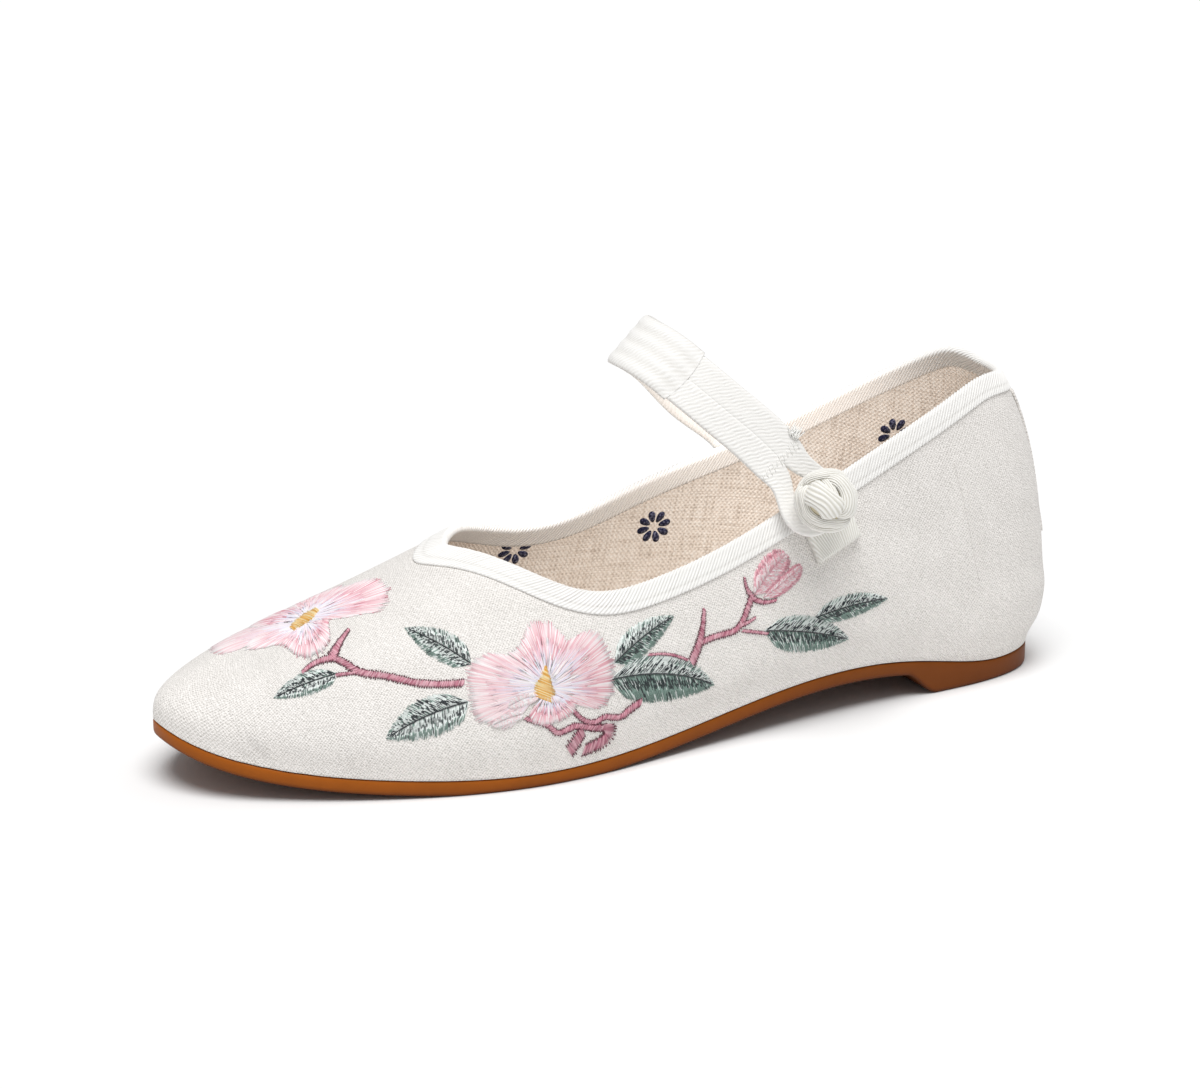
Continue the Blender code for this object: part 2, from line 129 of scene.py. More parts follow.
# Embroidery on the outer side, in millimetres from the toe along the sole and up the wall. A leaf has its
# base and tip, the bow of its midrib and its half breadth above and below the midrib.
LEAF_COLUMNS = ("base_length", "base_height", "tip_length", "tip_height", "bow", "above", "below")
LEAVES = (
    (35.0, 26.0, 20.0, 17.5, 0.7, 2.8, 2.9),
    (67.0, 28.5, 53.5, 39.5, 0.5, 4.2, 4.3),
    (64.5, 19.5, 44.5, 10.5, 1.2, 3.9, 5.0),
    (103.0, 23.0, 122.0, 29.5, 0.8, 3.6, 3.7),
    (101.0, 19.5, 130.5, 9.5, 2.4, 4.4, 6.6),
    (146.0, 18.0, 171.5, 9.0, 0.4, 3.9, 5.0),
    (161.0, 17.0, 183.5, 18.0, 0.2, 3.0, 3.1),
)
PALE_LEAVES = LEAVES[:3]
BUDS = (
    (144.5, 27.5, 155.5, 35.0, 0.2, 3.7, 3.6),
    (147.0, 26.0, 159.0, 31.0, -0.3, 1.6, 2.6),
)
# A stem has its breadth at both ends and the points that it passes
STEMS = (
    (1.9, 1.5, ((34.0, 30.5), (37.0, 29.0), (39.5, 27.0), (45.0, 26.0), (51.5, 24.5), (64.0, 24.0))),
    (2.1, 0.7, ((34.0, 30.5), (36.5, 35.5), (39.5, 40.0))),
    (1.9, 0.8, ((34.0, 30.5), (29.5, 28.5), (26.5, 25.5))),
    (0.9, 0.9, ((34.5, 25.5), (37.0, 26.0), (39.5, 26.5))),
    (0.6, 0.6, ((113.0, 22.5), (118.5, 21.0), (123.5, 18.0))),
    (2.2, 0.9, ((124.5, 17.0), (127.5, 21.0), (130.5, 28.5))),
    (1.3, 1.5, ((128.5, 21.0), (133.5, 21.0), (138.5, 21.0), (142.0, 24.5), (144.0, 27.5))),
    (1.2, 0.6, ((139.5, 21.5), (141.5, 21.5), (144.0, 22.0))),
    (0.7, 0.7, ((140.0, 20.0), (143.5, 18.5), (147.0, 17.0))),
    (1.2, 0.5, ((144.0, 27.5), (143.0, 30.0), (143.0, 32.5))),
    (1.2, 0.7, ((144.0, 27.0), (147.0, 25.0), (150.5, 24.5))),
    (1.0, 1.6, ((77.5, 14.5), (79.5, 13.5), (83.5, 11.5), (85.0, 10.0), (89.0, 10.5), (94.0, 9.5),
                (98.0, 8.5))),
    (1.0, 1.6, ((90.0, 14.5), (91.5, 12.5), (96.0, 10.5), (98.0, 11.0), (102.5, 10.0),
                (105.5, 11.0), (109.0, 12.0))),
    (2.4, 3.2, ((92.0, 9.0), (90.0, 6.5), (88.5, 4.5))),
    (3.2, 2.6, ((99.0, 9.0), (99.0, 6.0), (95.5, 4.5), (92.5, 4.0))),
)
# A petal has the two ends of its base, the order in which it is sewn, how rosy it is and its outline
SIDE_PETALS = (
    ((82.0, 24.5), (80.5, 21.0), 0, 0.35,
     ((78.0, 28.5), (76.0, 30.0), (72.5, 31.0), (68.0, 30.0), (66.0, 28.0), (64.5, 24.0), (65.0, 19.5))),
    ((81.0, 21.0), (80.5, 19.0), 1, 0.15,
     ((64.5, 20.0), (65.0, 15.5), (69.0, 13.5), (73.0, 12.5), (75.0, 14.0), (78.0, 17.0))),
    ((82.5, 24.0), (86.0, 24.5), 2, 0.7,
     ((76.5, 30.5), (81.0, 33.5), (84.0, 37.0), (86.0, 37.5), (89.0, 36.5), (91.0, 34.0), (92.5, 31.0))),
    ((86.0, 24.5), (87.0, 20.5), 0, 0.6,
     ((92.0, 31.0), (96.0, 32.0), (99.5, 32.0), (101.5, 29.5), (102.5, 26.0), (103.0, 23.0), (102.5, 21.0))),
    ((87.0, 21.0), (86.0, 19.0), 1, 0.65,
     ((102.5, 22.0), (101.5, 16.5), (99.0, 14.0), (95.0, 14.0), (91.5, 15.5))),
    ((82.0, 18.5), (86.5, 18.5), 3, 0.75,
     ((78.5, 15.5), (78.5, 14.0), (83.5, 12.0), (86.0, 12.5), (90.5, 14.5), (91.5, 16.0))),
)
# White lobes that turn up at the foot of the side flower
SIDE_LOBES = (
    (81.5, 19.3, 73.5, 17.6, 0.5, 1.4, 1.6),
    (77.0, 15.6, 69.0, 13.4, 0.3, 1.3, 1.4),
)
# The flower on the toe is laid out from above: millimetres from the toe and toward the inner side
TOE_PETALS = (
    ((35.0, 1.6), (34.5, -0.4), 0, 0.3,
     ((30.0, 9.5), (26.0, 15.5), (21.0, 16.0), (18.0, 12.0), (16.5, 7.0), (17.0, 3.0), (19.0, 1.0),
      (25.0, 2.5))),
    ((35.0, 0.1), (35.5, -2.9), 1, 0.5,
     ((27.0, 3.5), (23.5, 2.0), (22.0, -0.5), (24.0, -3.0), (28.0, -5.0), (30.5, -7.5))),
    ((35.5, -2.9), (39.0, -2.4), 2, 0.7,
     ((29.0, -5.0), (30.0, -9.0), (31.5, -13.0), (35.0, -14.5), (38.5, -13.0), (40.5, -9.0), (42.0, -5.0))),
    ((40.0, -1.9), (41.5, 3.1), 1, 0.8,
     ((42.0, -4.5), (46.0, -7.5), (50.0, -9.5), (53.0, -11.0), (56.0, -8.5), (58.0, -4.0), (58.5, 1.0),
      (57.0, 6.0), (53.0, 9.0))),
    ((41.5, 3.6), (39.0, 4.6), 0, 0.4,
     ((52.0, 8.5), (52.0, 13.0), (47.0, 16.5), (42.0, 17.0), (38.5, 14.0))),
    ((39.0, 4.6), (36.0, 2.1), 2, 0.9,
     ((39.0, 13.0), (36.0, 16.5), (32.0, 16.5), (28.5, 13.5), (28.5, 9.0))),
)
# Hearts of the flowers: widths from foot to tip, and the line that each follows
SIDE_HEART = ((6.2, 5.0, 2.8, 0.8), ((82.8, 18.3), (83.9, 22.0), (84.8, 26.0)))
TOE_HEART = ((2.4, 4.6, 4.8, 2.4), ((33.8, -1.6), (38.0, 0.8), (42.2, 3.0)))

# Printed flowers of the lining: side, millimetres from the toe along the sole and up the wall
PRINTS = (
    (INNER, 108.5, 34.0),
    (INNER, 146.5, 30.0),
    (INNER, 214.5, 52.0),
    (INNER, 182.0, 52.0),
    (INNER, 72.0, 40.0),
    (INNER, 181.0, 20.0),
    (OUTER, 92.0, 30.0),
    (OUTER, 128.0, 24.0),
    (OUTER, 164.0, 34.0),
    (OUTER, 200.0, 50.0),
    (OUTER, 228.0, 26.0),
)
PRINT_PETALS = 8
PRINT_RING = 3.0
PRINT_LONG = 1.7
PRINT_WIDE = 0.95
PRINT_OFF = 0.01
PRINT_THICK = 0.05


def linear(red, green, blue):
    """Shader colour for the usual 0 to 255 values of a screen colour."""
    shares = np.array((red, green, blue)) / 255
    return np.where(shares <= 0.04045, shares / 12.92, ((shares + 0.055) / 1.055) ** 2.4)


COTTON = linear(250, 246, 242)
COTTON_SHADE = linear(188, 184, 177)
TWILL = linear(253, 252, 250)
# Painted shade of the binding's rib valleys, its groove and its hidden back
TWILL_PAINTED_SHADE = linear(210, 207, 202)
STRAP_PALE = linear(252, 251, 249)
# Painted shade of the strap's rib valleys and of the hollows between its ridges
STRAP_PAINTED_SHADE = linear(224, 221, 215)
LINEN = linear(232, 220, 208)
LINEN_SHADE = linear(194, 179, 165)
LINEN_PALE = linear(243, 235, 226)
NAVY = linear(30, 30, 58)
NAVY_PALE = linear(128, 128, 150)
RUBBER = linear(172, 92, 18)
# Dark end of the rubber's random cloud and of its painted shade
RUBBER_DARK = linear(84, 40, 8)
CORD = linear(252, 251, 247)
# Painted shade between the cord's fibres and in the tab's rib valleys
CORD_PAINTED_SHADE = linear(208, 204, 192)
# Painted shade of the knot's core, which shows in the slits between its strands
CORD_CORE_PAINTED_SHADE = linear(222, 212, 182)
PETAL_PALE = linear(255, 250, 250)
PETAL_PINK = linear(252, 228, 231)
PETAL_ROSE = linear(222, 140, 158)
PETAL_LAVENDER = linear(236, 233, 248)
BUD_PINK = linear(238, 184, 194)
BUD_ROSE = linear(212, 138, 156)
HEART_GOLD = linear(238, 182, 82)
HEART_PALE = linear(255, 236, 188)
LEAF_MINT = linear(240, 246, 243)
LEAF_GREEN = linear(134, 160, 150)
LEAF_SLATE = linear(40, 50, 55)
STEM_ROSE = linear(206, 136, 154)
# Painted shadow at the ends of the stem stitches
STEM_END_PAINTED_SHADOW = linear(104, 42, 60)
STEM_DEEP = linear(166, 86, 110)
STEM_PALE = linear(232, 186, 196)
FLOOR_SHADE = (0.91, 0.91, 0.91)
FLOOR_PALE = (0.93, 0.93, 0.93)


def smooth(knots, values, at, level_start=False, level_end=False):
    """Cubic spline through a table of values or of rows of values, with free or level ends."""
    knots = np.asarray(knots, float)
    values = np.asarray(values, float)
    at = np.asarray(at, float)
    table = values.reshape(len(knots), -1)
    step = np.diff(knots)
    slope = np.diff(table, axis=0) / step[:, None]
    count = len(knots)
    system = np.eye(count)
    target = np.zeros_like(table)
    for row in range(1, count - 1):
        system[row, row - 1:row + 2] = (step[row - 1], 2 * (step[row - 1] + step[row]), step[row])
        target[row] = 6 * (slope[row] - slope[row - 1])
    if level_start:
        system[0, :2] = (2 * step[0], step[0])
        target[0] = 6 * slope[0]
    if level_end:
        system[-1, -2:] = (step[-1], 2 * step[-1])
        target[-1] = -6 * slope[-1]
    bend = np.linalg.solve(system, target)
    flat = at.ravel()
    cell = np.clip(np.searchsorted(knots, flat) - 1, 0, count - 2)
    width = step[cell][:, None]
    left = (knots[cell + 1] - flat)[:, None] / width
    right = 1 - left
    curve = (left ** 3 - left) * bend[cell] + (right ** 3 - right) * bend[cell + 1]
    found = left * table[cell] + right * table[cell + 1] + curve * width ** 2 / 6
    return found.reshape(at.shape + values.shape[1:])


def ease(share):
    """Soft step from 0 to 1."""
    share = np.clip(share, 0.0, 1.0)
    return share * share * (3 - 2 * share)


def unit(vectors):
    return vectors / np.linalg.norm(vectors, axis=-1, keepdims=True)


def last_value(name, station):
    return smooth(LAST[:, 0], LAST[:, LAST_COLUMNS.index(name)], station, True, True)


def along(station):
    return SOLE_LENGTH * (1 - np.cos(np.pi * np.asarray(station, float))) / 2


def station_at(length):
    return np.arccos(1 - 2 * np.clip(np.asarray(length, float) / SOLE_LENGTH, 0, 1)) / np.pi


def outline(station, side):
    """Plan position of the sole's edge."""
    station = np.asarray(station, float)
    half = np.sin(np.pi * station) * last_value(SIDE_NAMES[side], station)
    return along(station) - SOLE_LENGTH / 2, last_value("middle", station) + side * half


def edge_plan(stations, side):
    """Line of the sole's edge in plan, and the directions square to it that point outward."""
    flat = np.stack(outline(stations, side), -1)
    slope = np.gradient(flat, axis=0)
    return flat, unit(np.stack((slope[:, 1], -slope[:, 0]), -1)) * -side


def last_points(station, angle, side):
    """Points on the outside of the upper, at angles up the section from the sole's edge."""
    station, angle = np.broadcast_arrays(np.asarray(station, float), np.radians(angle))
    edge_x, edge_y = outline(station, side)
    spine_length = SOLE_LENGTH - TOE_SETBACK - HEEL_SETBACK
    spine = TOE_SETBACK + spine_length * (1 - np.cos(np.pi * station)) / 2
    spine_x = spine - SOLE_LENGTH / 2
    spine_y = last_value("middle", station_at(spine))
    reach = np.hypot(edge_x - spine_x, edge_y - spine_y)
    toward_x = (edge_x - spine_x) / reach
    toward_y = (edge_y - spine_y) / reach
    power = 2 / last_value("power", station)
    rise = last_value("ridge", station) * np.sin(angle) ** power
    swell = last_value("bulge", station) * (1 - np.exp(-(rise / SWELL_RISE) ** 2))
    radius = (reach + swell) * np.maximum(np.cos(angle), 0.0) ** power
    tilt = last_value("lean", station) * toward_x * radius * np.sin(angle) ** 2
    height = last_value("edge_z", station) + GAP + rise + tilt
    return np.stack((spine_x + toward_x * radius, spine_y + toward_y * radius, height), -1)


def collar_angle(station, side):
    """Angle of the collar edge, 90 degrees ahead of the throat's tip."""
    station = np.asarray(station, float)
    share = np.clip((station - THROAT_TIP) / (1 - THROAT_TIP), 0, 1)
    share = np.sqrt((share ** 2 + 2 * THROAT_ROUND * share) / (1 + 2 * THROAT_ROUND))
    column = COLLAR[:, COLLAR_COLUMNS.index(SIDE_NAMES[side])]
    return np.where(station <= THROAT_TIP, 90.0, smooth(COLLAR[:, 0], column, share, level_end=True))


def throat_stations(count):
    shares = np.linspace(0, 1, count + 1) ** 1.5
    return THROAT_TIP + (1 - THROAT_TIP) * shares


def rows_length(points):
    """Running length along the second axis of a grid of points."""
    hops = np.linalg.norm(np.diff(points, axis=1), axis=2)
    return np.concatenate((np.zeros((len(points), 1)), np.cumsum(hops, axis=1)), axis=1)


def line_length(points):
    """Running length along one line of points."""
    return rows_length(points[None])[0]


def between(knots, rows, at):
    """Rows of a table, in straight lines between its knots."""
    return np.stack([np.interp(at, knots, column) for column in rows.T], -1)


def square_to(heading, vectors):
    """Unit vectors turned square to a heading."""
    return unit(vectors - heading * (vectors * heading).sum(-1, keepdims=True))


def sections(centre, wide, up, across, lift):
    """Rings of points along a line, from their places across it and above it."""
    return centre[:, None] + wide[:, None] * across[..., None] + up[:, None] * lift[..., None]


def tinted(shade, pale, share):
    """Colours between two, one for each share."""
    return shade + (pale - shade) * share.reshape(-1, 1)


def shifted(faces, start):
    """Faces whose points come after so many others."""
    return [[corner + start for corner in face] for face in faces]


# The cloth's chart closes up evenly round the point on the toe where all sections meet
POLE_REACH = 16.0


def upper_surface(columns_front, columns_back, rows):
    """Outside of the upper as points, quads and, per corner, (length along the sole, height up the wall)."""
    front = np.linspace(0, THROAT_TIP, columns_front, endpoint=False)
    stations = np.concatenate((front, throat_stations(columns_back)))
    shares = np.linspace(0, 1, rows + 1) ** 1.1
    pole = last_points(0.0, 90.0, OUTER)[:2]
    points, charts, quads = [], [], []
    start = 0
    for side in (OUTER, INNER):
        angles = collar_angle(stations, side)[:, None] * shares[None, :]
        grid = last_points(stations[:, None], angles, side)
        edge = np.stack(outline(stations, side), -1)
        run = line_length(edge)
        away = np.linalg.norm(grid[..., :2] - pole, axis=-1)
        chart = np.stack((run[:, None] * away / np.hypot(away, POLE_REACH), rows_length(grid)), -1)
        index = np.arange(grid[..., 0].size).reshape(angles.shape) + start
        corners = (index[:-1, :-1], index[1:, :-1], index[1:, 1:], index[:-1, 1:])
        made = np.stack(corners, -1).reshape(-1, 4)
        quads.append(made if side == OUTER else made[:, ::-1])
        points.append(grid.reshape(-1, 3))
        charts.append(chart.reshape(-1, 2))
        start += index.size
    points = np.concatenate(points)
    quads = np.concatenate(quads)
    corners = np.concatenate(charts)[quads]
    _, first, merged = np.unique(np.round(points, 3), axis=0, return_index=True, return_inverse=True)
    return points[first], merged.ravel()[quads], corners


def normals_of(points, faces):
    """Normals at the points of a mesh."""
    mesh = bpy.data.meshes.new("measure")
    mesh.from_pydata(points.tolist(), [], faces.tolist())
    found = np.zeros(len(points) * 3, np.float32)
    mesh.vertex_normals.foreach_get("vector", found)
    bpy.data.meshes.remove(mesh)
    return found.reshape(-1, 3).astype(float)


def rim_edges(quads):
    """Edges of a surface that only one face has, in that face's direction, with the corner they start at."""
    starts = quads.reshape(-1)
    ends = np.roll(quads, -1, axis=1).reshape(-1)
    key = np.sort(np.stack((starts, ends), -1), axis=1)
    _, first, count = np.unique(key, axis=0, return_index=True, return_counts=True)
    places = first[count == 1]
    return starts[places], ends[places], places


def shell(points, quads, charts, outside, inside):
    """Closed wall between two offsets from a surface: points, faces and charts per corner."""
    normals = normals_of(points, quads)
    both = np.concatenate((points + normals * outside, points + normals * inside))
    away = len(points)
    starts, ends, places = rim_edges(quads)
    rim = np.stack((ends, starts, starts + away, ends + away), -1)
    faces = np.concatenate((quads, quads[:, ::-1] + away, rim))
    flat = charts.reshape(-1, 2)
    nexts = places - places % 4 + (places + 1) % 4
    rim_charts = np.stack((flat[nexts], flat[places], flat[places], flat[nexts]), 1)
    return both, faces, np.concatenate((charts, charts[:, ::-1], rim_charts))


def tube_faces(rings, size, closed=False, capped=True):
    """Quads over rings of points, which are a loop, capped by two end faces or left open."""
    index = np.arange(rings * size).reshape(rings, size)
    after = np.roll(index, -1, axis=1)
    if closed:
        here, there = (index, after), (np.roll(index, -1, axis=0), np.roll(after, -1, axis=0))
    else:
        here, there = (index[:-1], after[:-1]), (index[1:], after[1:])
    quads = np.stack((here[0], here[1], there[1], there[0]), -1).reshape(-1, 4).tolist()
    if capped and not closed:
        quads += [index[0][::-1].tolist(), index[-1].tolist()]
    return quads


def add_piece(name, points, faces, material, replaces=None, charts=None, tints=None):
    """Piece that rides on the shoe, from points in millimetres."""
    mesh = bpy.data.meshes.new(name)
    mesh.from_pydata(((points + FRAME_SHIFT) * MM).tolist(), [], [list(face) for face in faces])
    if charts is not None:
        layer = mesh.uv_layers.new(name="chart")
        layer.data.foreach_set("uv", np.asarray(charts, np.float32).ravel())
    if tints is not None:
        layer = mesh.color_attributes.new("tint", "FLOAT_COLOR", "POINT")
        colours = np.concatenate((tints, np.ones((len(tints), 1))), axis=1)
        layer.data.foreach_set("color", colours.astype(np.float32).ravel())
    mesh.materials.append(material)
    mesh.shade_smooth()
    piece = bpy.data.objects.new(name, mesh)
    bpy.context.scene.collection.objects.link(piece)
    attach(piece, "root")
    if replaces:
        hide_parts(replaces)
    return piece


def add_rings(name, rings, material, replaces, tints=None, flat=None, closed=False, capped=True):
    """Piece over rings of points, with a tint or a place on the flat for each point."""
    faces = tube_faces(len(rings), rings.shape[1], closed, capped)
    charts = None if flat is None else flat.reshape(-1, 2)[np.concatenate(faces)]
    return add_piece(name, rings.reshape(-1, 3), faces, material, replaces, charts, tints)


class Surface:
    """A mesh to lay things on."""

    def __init__(self, points, faces):
        self.tree = BVHTree.FromPolygons(points.tolist(), faces.tolist())

    def nearest(self, points):
        found = [self.tree.find_nearest(Vector(point))[:2] for point in points.reshape(-1, 3)]
        places = np.array([place for place, _ in found]).reshape(points.shape)
        normals = np.array([normal for _, normal in found]).reshape(points.shape)
        return places, normals

    def below(self, plan):
        """Points under positions in plan."""
        down = Vector((0.0, 0.0, -1.0))
        flat = plan.reshape(-1, 2)
        found = [self.tree.ray_cast(Vector((x, y, 200.0)), down)[0] for x, y in flat]
        return np.array(found).reshape(plan.shape[:-1] + (3,))

    def edge_frame(self, station, side):
        """Collar edge point with its direction toward the heel, down the wall, and outward."""
        step = 0.002
        ends = np.array((max(station - step, THROAT_TIP), station, min(station + step, 1.0)))
        behind, point, ahead = last_points(ends, collar_angle(ends, side), side)
        heelward = unit(ahead - behind)
        below = last_points(station, collar_angle(station, side) * 0.97, side)
        outward = self.nearest(below)[1]
        down = unit(np.cross(heelward, outward) * -side)
        if station == THROAT_TIP:
            down = unit(np.array((-1.0, 0.0, 0.0)) + outward * outward[0])
        return point, heelward, down, outward


class Nodes:
    """Short way to build a material's nodes."""

    def __init__(self, name, sockets):
        self.material = bpy.data.materials.new(name)
        self.material.use_nodes = True
        self.tree = self.material.node_tree
        self.shader = self.tree.nodes["Principled BSDF"]
        for key, value in sockets.items():
            self.shader.inputs[key].default_value = value

    def add(self, kind, inputs, **settings):
        node = self.tree.nodes.new("ShaderNode" + kind)
        for key, value in settings.items():
            setattr(node, key, value)
        for key, value in inputs.items():
            if isinstance(value, bpy.types.NodeSocket):
                self.tree.links.new(value, node.inputs[key])
            else:
                node.inputs[key].default_value = value
        return node.outputs[0]

    def maths(self, operation, first, second=0.0):
        return self.add("Math", {0: first, 1: second}, operation=operation)

    def total(self, *parts):
        """Sum of sockets, each with its weight."""
        found = 0.0
        for socket, weight in parts:
            found = self.add("Math", {0: socket, 1: weight, 2: found}, operation="MULTIPLY_ADD")
        return found

    def chart(self, turn, stretch=(1.0, 1.0, 1.0)):
        """The piece's own flat millimetres, turned and then stretched."""
        flat = self.add("UVMap", {}, uv_map="chart")
        turned = self.add("Mapping", {"Vector": flat, "Rotation": (0.0, 0.0, turn)})
        return self.add("Mapping", {"Vector": turned, "Scale": stretch})

    def place(self):
        """The piece's own space, in metres."""
        return self.tree.nodes.new("ShaderNodeTexCoord").outputs["Object"]

    def noise(self, vector, scale, detail=3.0, roughness=0.55):
        inputs = {"Vector": vector, "Scale": scale, "Detail": detail, "Roughness": roughness}
        return self.add("TexNoise", inputs)

    def blend(self, share, first, second, low=0.0, high=1.0):
        """Colour from the first at a low share to the second at a high one."""
        ramp = self.tree.nodes.new("ShaderNodeValToRGB")
        for element, position, colour in zip(ramp.color_ramp.elements, (low, high), (first, second)):
            element.position = position
            element.color = (*colour, 1.0)
        self.tree.links.new(share, ramp.inputs["Fac"])
        return ramp

    def weave(self, vector, warp, weft, wander):
        """Height of a plain weave with these thread pitches, whose threads wander a little."""
        split = self.tree.nodes.new("ShaderNodeSeparateXYZ")
        self.tree.links.new(vector, split.inputs[0])
        drift = self.maths("MULTIPLY", self.noise(vector, 0.7, 2.0), wander)
        waves = []
        for axis, pitch in ((0, warp), (1, weft)):
            place = self.maths("ADD", split.outputs[axis], drift)
            waves.append(self.maths("SINE", self.maths("MULTIPLY", place, math.pi / pitch)))
        return self.maths("MULTIPLY", waves[0], waves[1])

    def colour(self, socket):
        self.tree.links.new(socket, self.shader.inputs["Base Color"])

    def bump(self, height, depth):
        """Relief of so many millimetres."""
        normal = self.add("Bump", {"Height": height, "Strength": 1.0, "Distance": depth * MM})
        self.tree.links.new(normal, self.shader.inputs["Normal"])


def cloth(name, pale, shade, pitch, depth, turn):
    """Fine plain weave, with short slubs that run at a turn to the sole."""
    made = Nodes(name, {"Roughness": 0.9, "Sheen Weight": 0.1, "Specular IOR Level": 0.25})
    flat = made.chart(turn)
    slub = made.noise(made.chart(turn, (0.8, 2.8, 1.0)), 1.0, 2.0)
    patch = made.noise(flat, 0.1, 1.0)
    threads = made.weave(flat, pitch, pitch, 1.2)
    made.bump(made.total((threads, 0.5), (slub, 1.3)), depth)
    tone = made.total((threads, 0.2), (slub, 0.6), (patch, 0.15))
    made.colour(made.blend(tone, shade, pale, 0.0, 0.46).outputs[0])
    return made.material


LINEN_TURN = 0.2


def linen(name, pale, middle, shade):
    """Loose plain weave of uneven yarns."""
    made = Nodes(name, {"Roughness": 0.95, "Sheen Weight": 0.1, "Specular IOR Level": 0.2})
    warp_yarn = made.noise(made.chart(LINEN_TURN, (1.6, 0.1, 1.0)), 1.0, 2.0)
    weft_yarn = made.noise(made.chart(LINEN_TURN, (0.1, 1.9, 1.0)), 1.0, 2.0)
    threads = made.weave(made.chart(LINEN_TURN), warp=0.62, weft=0.7, wander=0.6)
    made.bump(made.total((threads, 0.6), (warp_yarn, 1.2), (weft_yarn, 1.2)), 0.12)
    tone = made.total((threads, 0.07), (warp_yarn, 0.5), (weft_yarn, 0.5))
    ramp = made.blend(tone, shade, pale, 0.32, 0.68)
    halfway = ramp.color_ramp.elements.new(0.5)
    halfway.color = (*middle, 1.0)
    made.colour(ramp.outputs[0])
    return made.material


# Tapes and threads: name, roughness, sheen, and the pitch and depth of the fibres in millimetres
THREADS = (
    ("twill", 0.85, 0.1, 0.3, 0.05),
    ("ribbed_tape", 0.85, 0.1, 0.3, 0.05),
    ("satin_cord", 0.45, 0.3, 0.25, 0.03),
    ("embroidery_floss", 0.5, 0.3, 0.12, 0.02),
)


def thread(name, roughness, sheen, pitch, depth):
    """Thread or cord that takes its colour from the mesh, with fine fibres."""
    made = Nodes(name, {"Roughness": roughness, "Sheen Weight": sheen, "Specular IOR Level": 0.4})
    made.colour(made.add("Attribute", {}, attribute_name="tint"))
    made.bump(made.noise(made.place(), 1 / (pitch * MM), 2.0), depth)
    return made.material


def rubber(name):
    """Moulded rubber, a little cloudy, with painted light and shade from the mesh."""
    made = Nodes(name, {"Roughness": 0.5, "Specular IOR Level": 0.15})
    place = made.place()
    tint = made.add("Attribute", {}, attribute_name="tint")
    cloud = made.maths("MULTIPLY", made.noise(place, 60.0, 4.0), 0.5)
    darker = made.add("Mix", {0: cloud, 6: tint, 7: (*RUBBER_DARK, 1.0)}, data_type="RGBA")
    made.colour(darker.node.outputs[2])
    made.bump(made.noise(place, 900.0, 3.0), 0.04)
    return made.material


def floor_material():
    made = Nodes("floor_paper", {"Roughness": 0.75, "Specular IOR Level": 0.2})
    ramp = made.blend(made.noise(made.place(), 2.0), FLOOR_SHADE, FLOOR_PALE)
    made.colour(ramp.outputs[0])
    return made.material


# Soft relief of the cloth: where it stands off the last, in millimetres
CLOTH_THICK = 0.7
LINING_BACK = 0.75
LINING_FACE = 1.3
CLOTH_MESH = (80, 190, 56)
LINING_MESH = (50, 110, 34)
# A crease runs between two places, in millimetres from the toe and up the outer wall; one with a negative
# depth is a ridge
CREASE_COLUMNS = ("length", "height", "to_length", "to_height", "depth", "breadth")
CREASES = (
    (14.5, 6.5, 19.8, 0.0, 0.6, 1.2),
    (13.0, 3.0, 16.0, 0.0, 0.35, 1.0),
    (18.0, 12.0, 16.8, 4.0, -0.35, 2.2),
    (24.5, 4.5, 27.0, 0.0, 0.3, 1.2),
    (104.0, 33.0, 122.0, 26.0, 0.35, 3.0),
    (112.0, 5.0, 150.0, 3.0, 0.35, 3.0),
    (158.0, 8.0, 196.0, 6.0, 0.35, 2.6),
    (204.0, 50.0, 207.0, 24.0, 0.35, 2.4),
    (176.0, 40.0, 202.0, 31.0, 0.25, 3.5),
)
CREASE_FADE = 8.0
WEDGE_EDGE = 16.5
WEDGE_SWELL = 0.5
WEDGE_BREADTH = 4.0
WEDGE_FROM = 205.0
WEDGE_RUN = 25.0


def relief(length, height, outward):
    """How far the cloth stands off the last: the heel wedge's edge, and the creases of the outer side."""
    wedge = np.exp(-((height - WEDGE_EDGE) / WEDGE_BREADTH) ** 2)
    stand = WEDGE_SWELL * wedge * ease((length - WEDGE_FROM) / WEDGE_RUN)
    spot = np.stack((length, height), -1)
    for row in CREASES:
        crease = dict(zip(CREASE_COLUMNS, row))
        start = np.array((crease["length"], crease["height"]))
        run = np.array((crease["to_length"], crease["to_height"])) - start
        share = np.clip((spot - start) @ run / (run @ run), 0.0, 1.0)
        away = np.linalg.norm(spot - start - share[:, None] * run, axis=1)
        fade = 0.3 + 0.7 * np.sin(np.pi * share)
        stand -= crease["depth"] * fade * np.exp(-(away / crease["breadth"]) ** 2) * outward
    return stand


def make_upper():
    """Cotton upper on the last, and the linen lining inside it."""
    points, quads, charts = upper_surface(*CLOTH_MESH)
    normals = normals_of(points, quads)
    heights = np.zeros(len(points))
    heights[quads.ravel()] = charts.reshape(-1, 2)[:, 1]
    outward = ease(-points[:, 1] / CREASE_FADE)
    points = points + normals * relief(points[:, 0] + SOLE_LENGTH / 2, heights, outward)[:, None]
    cotton = cloth("cotton", COTTON, COTTON_SHADE, pitch=0.45, depth=0.15, turn=-0.17)
    made, faces, flat = shell(points, quads, charts, 0.0, -CLOTH_THICK)
    add_piece("upper_cloth", made, faces, cotton, "upper", flat)
    skin = Surface(points, quads)
    points, quads, charts = upper_surface(*LINING_MESH)
    inside = linen("linen", LINEN_PALE, LINEN, LINEN_SHADE)
    made, faces, flat = shell(points, quads, charts, -LINING_BACK, -LINING_FACE)
    lining = add_piece("lining", made, faces, inside, None, flat)
    return skin, cotton, lining


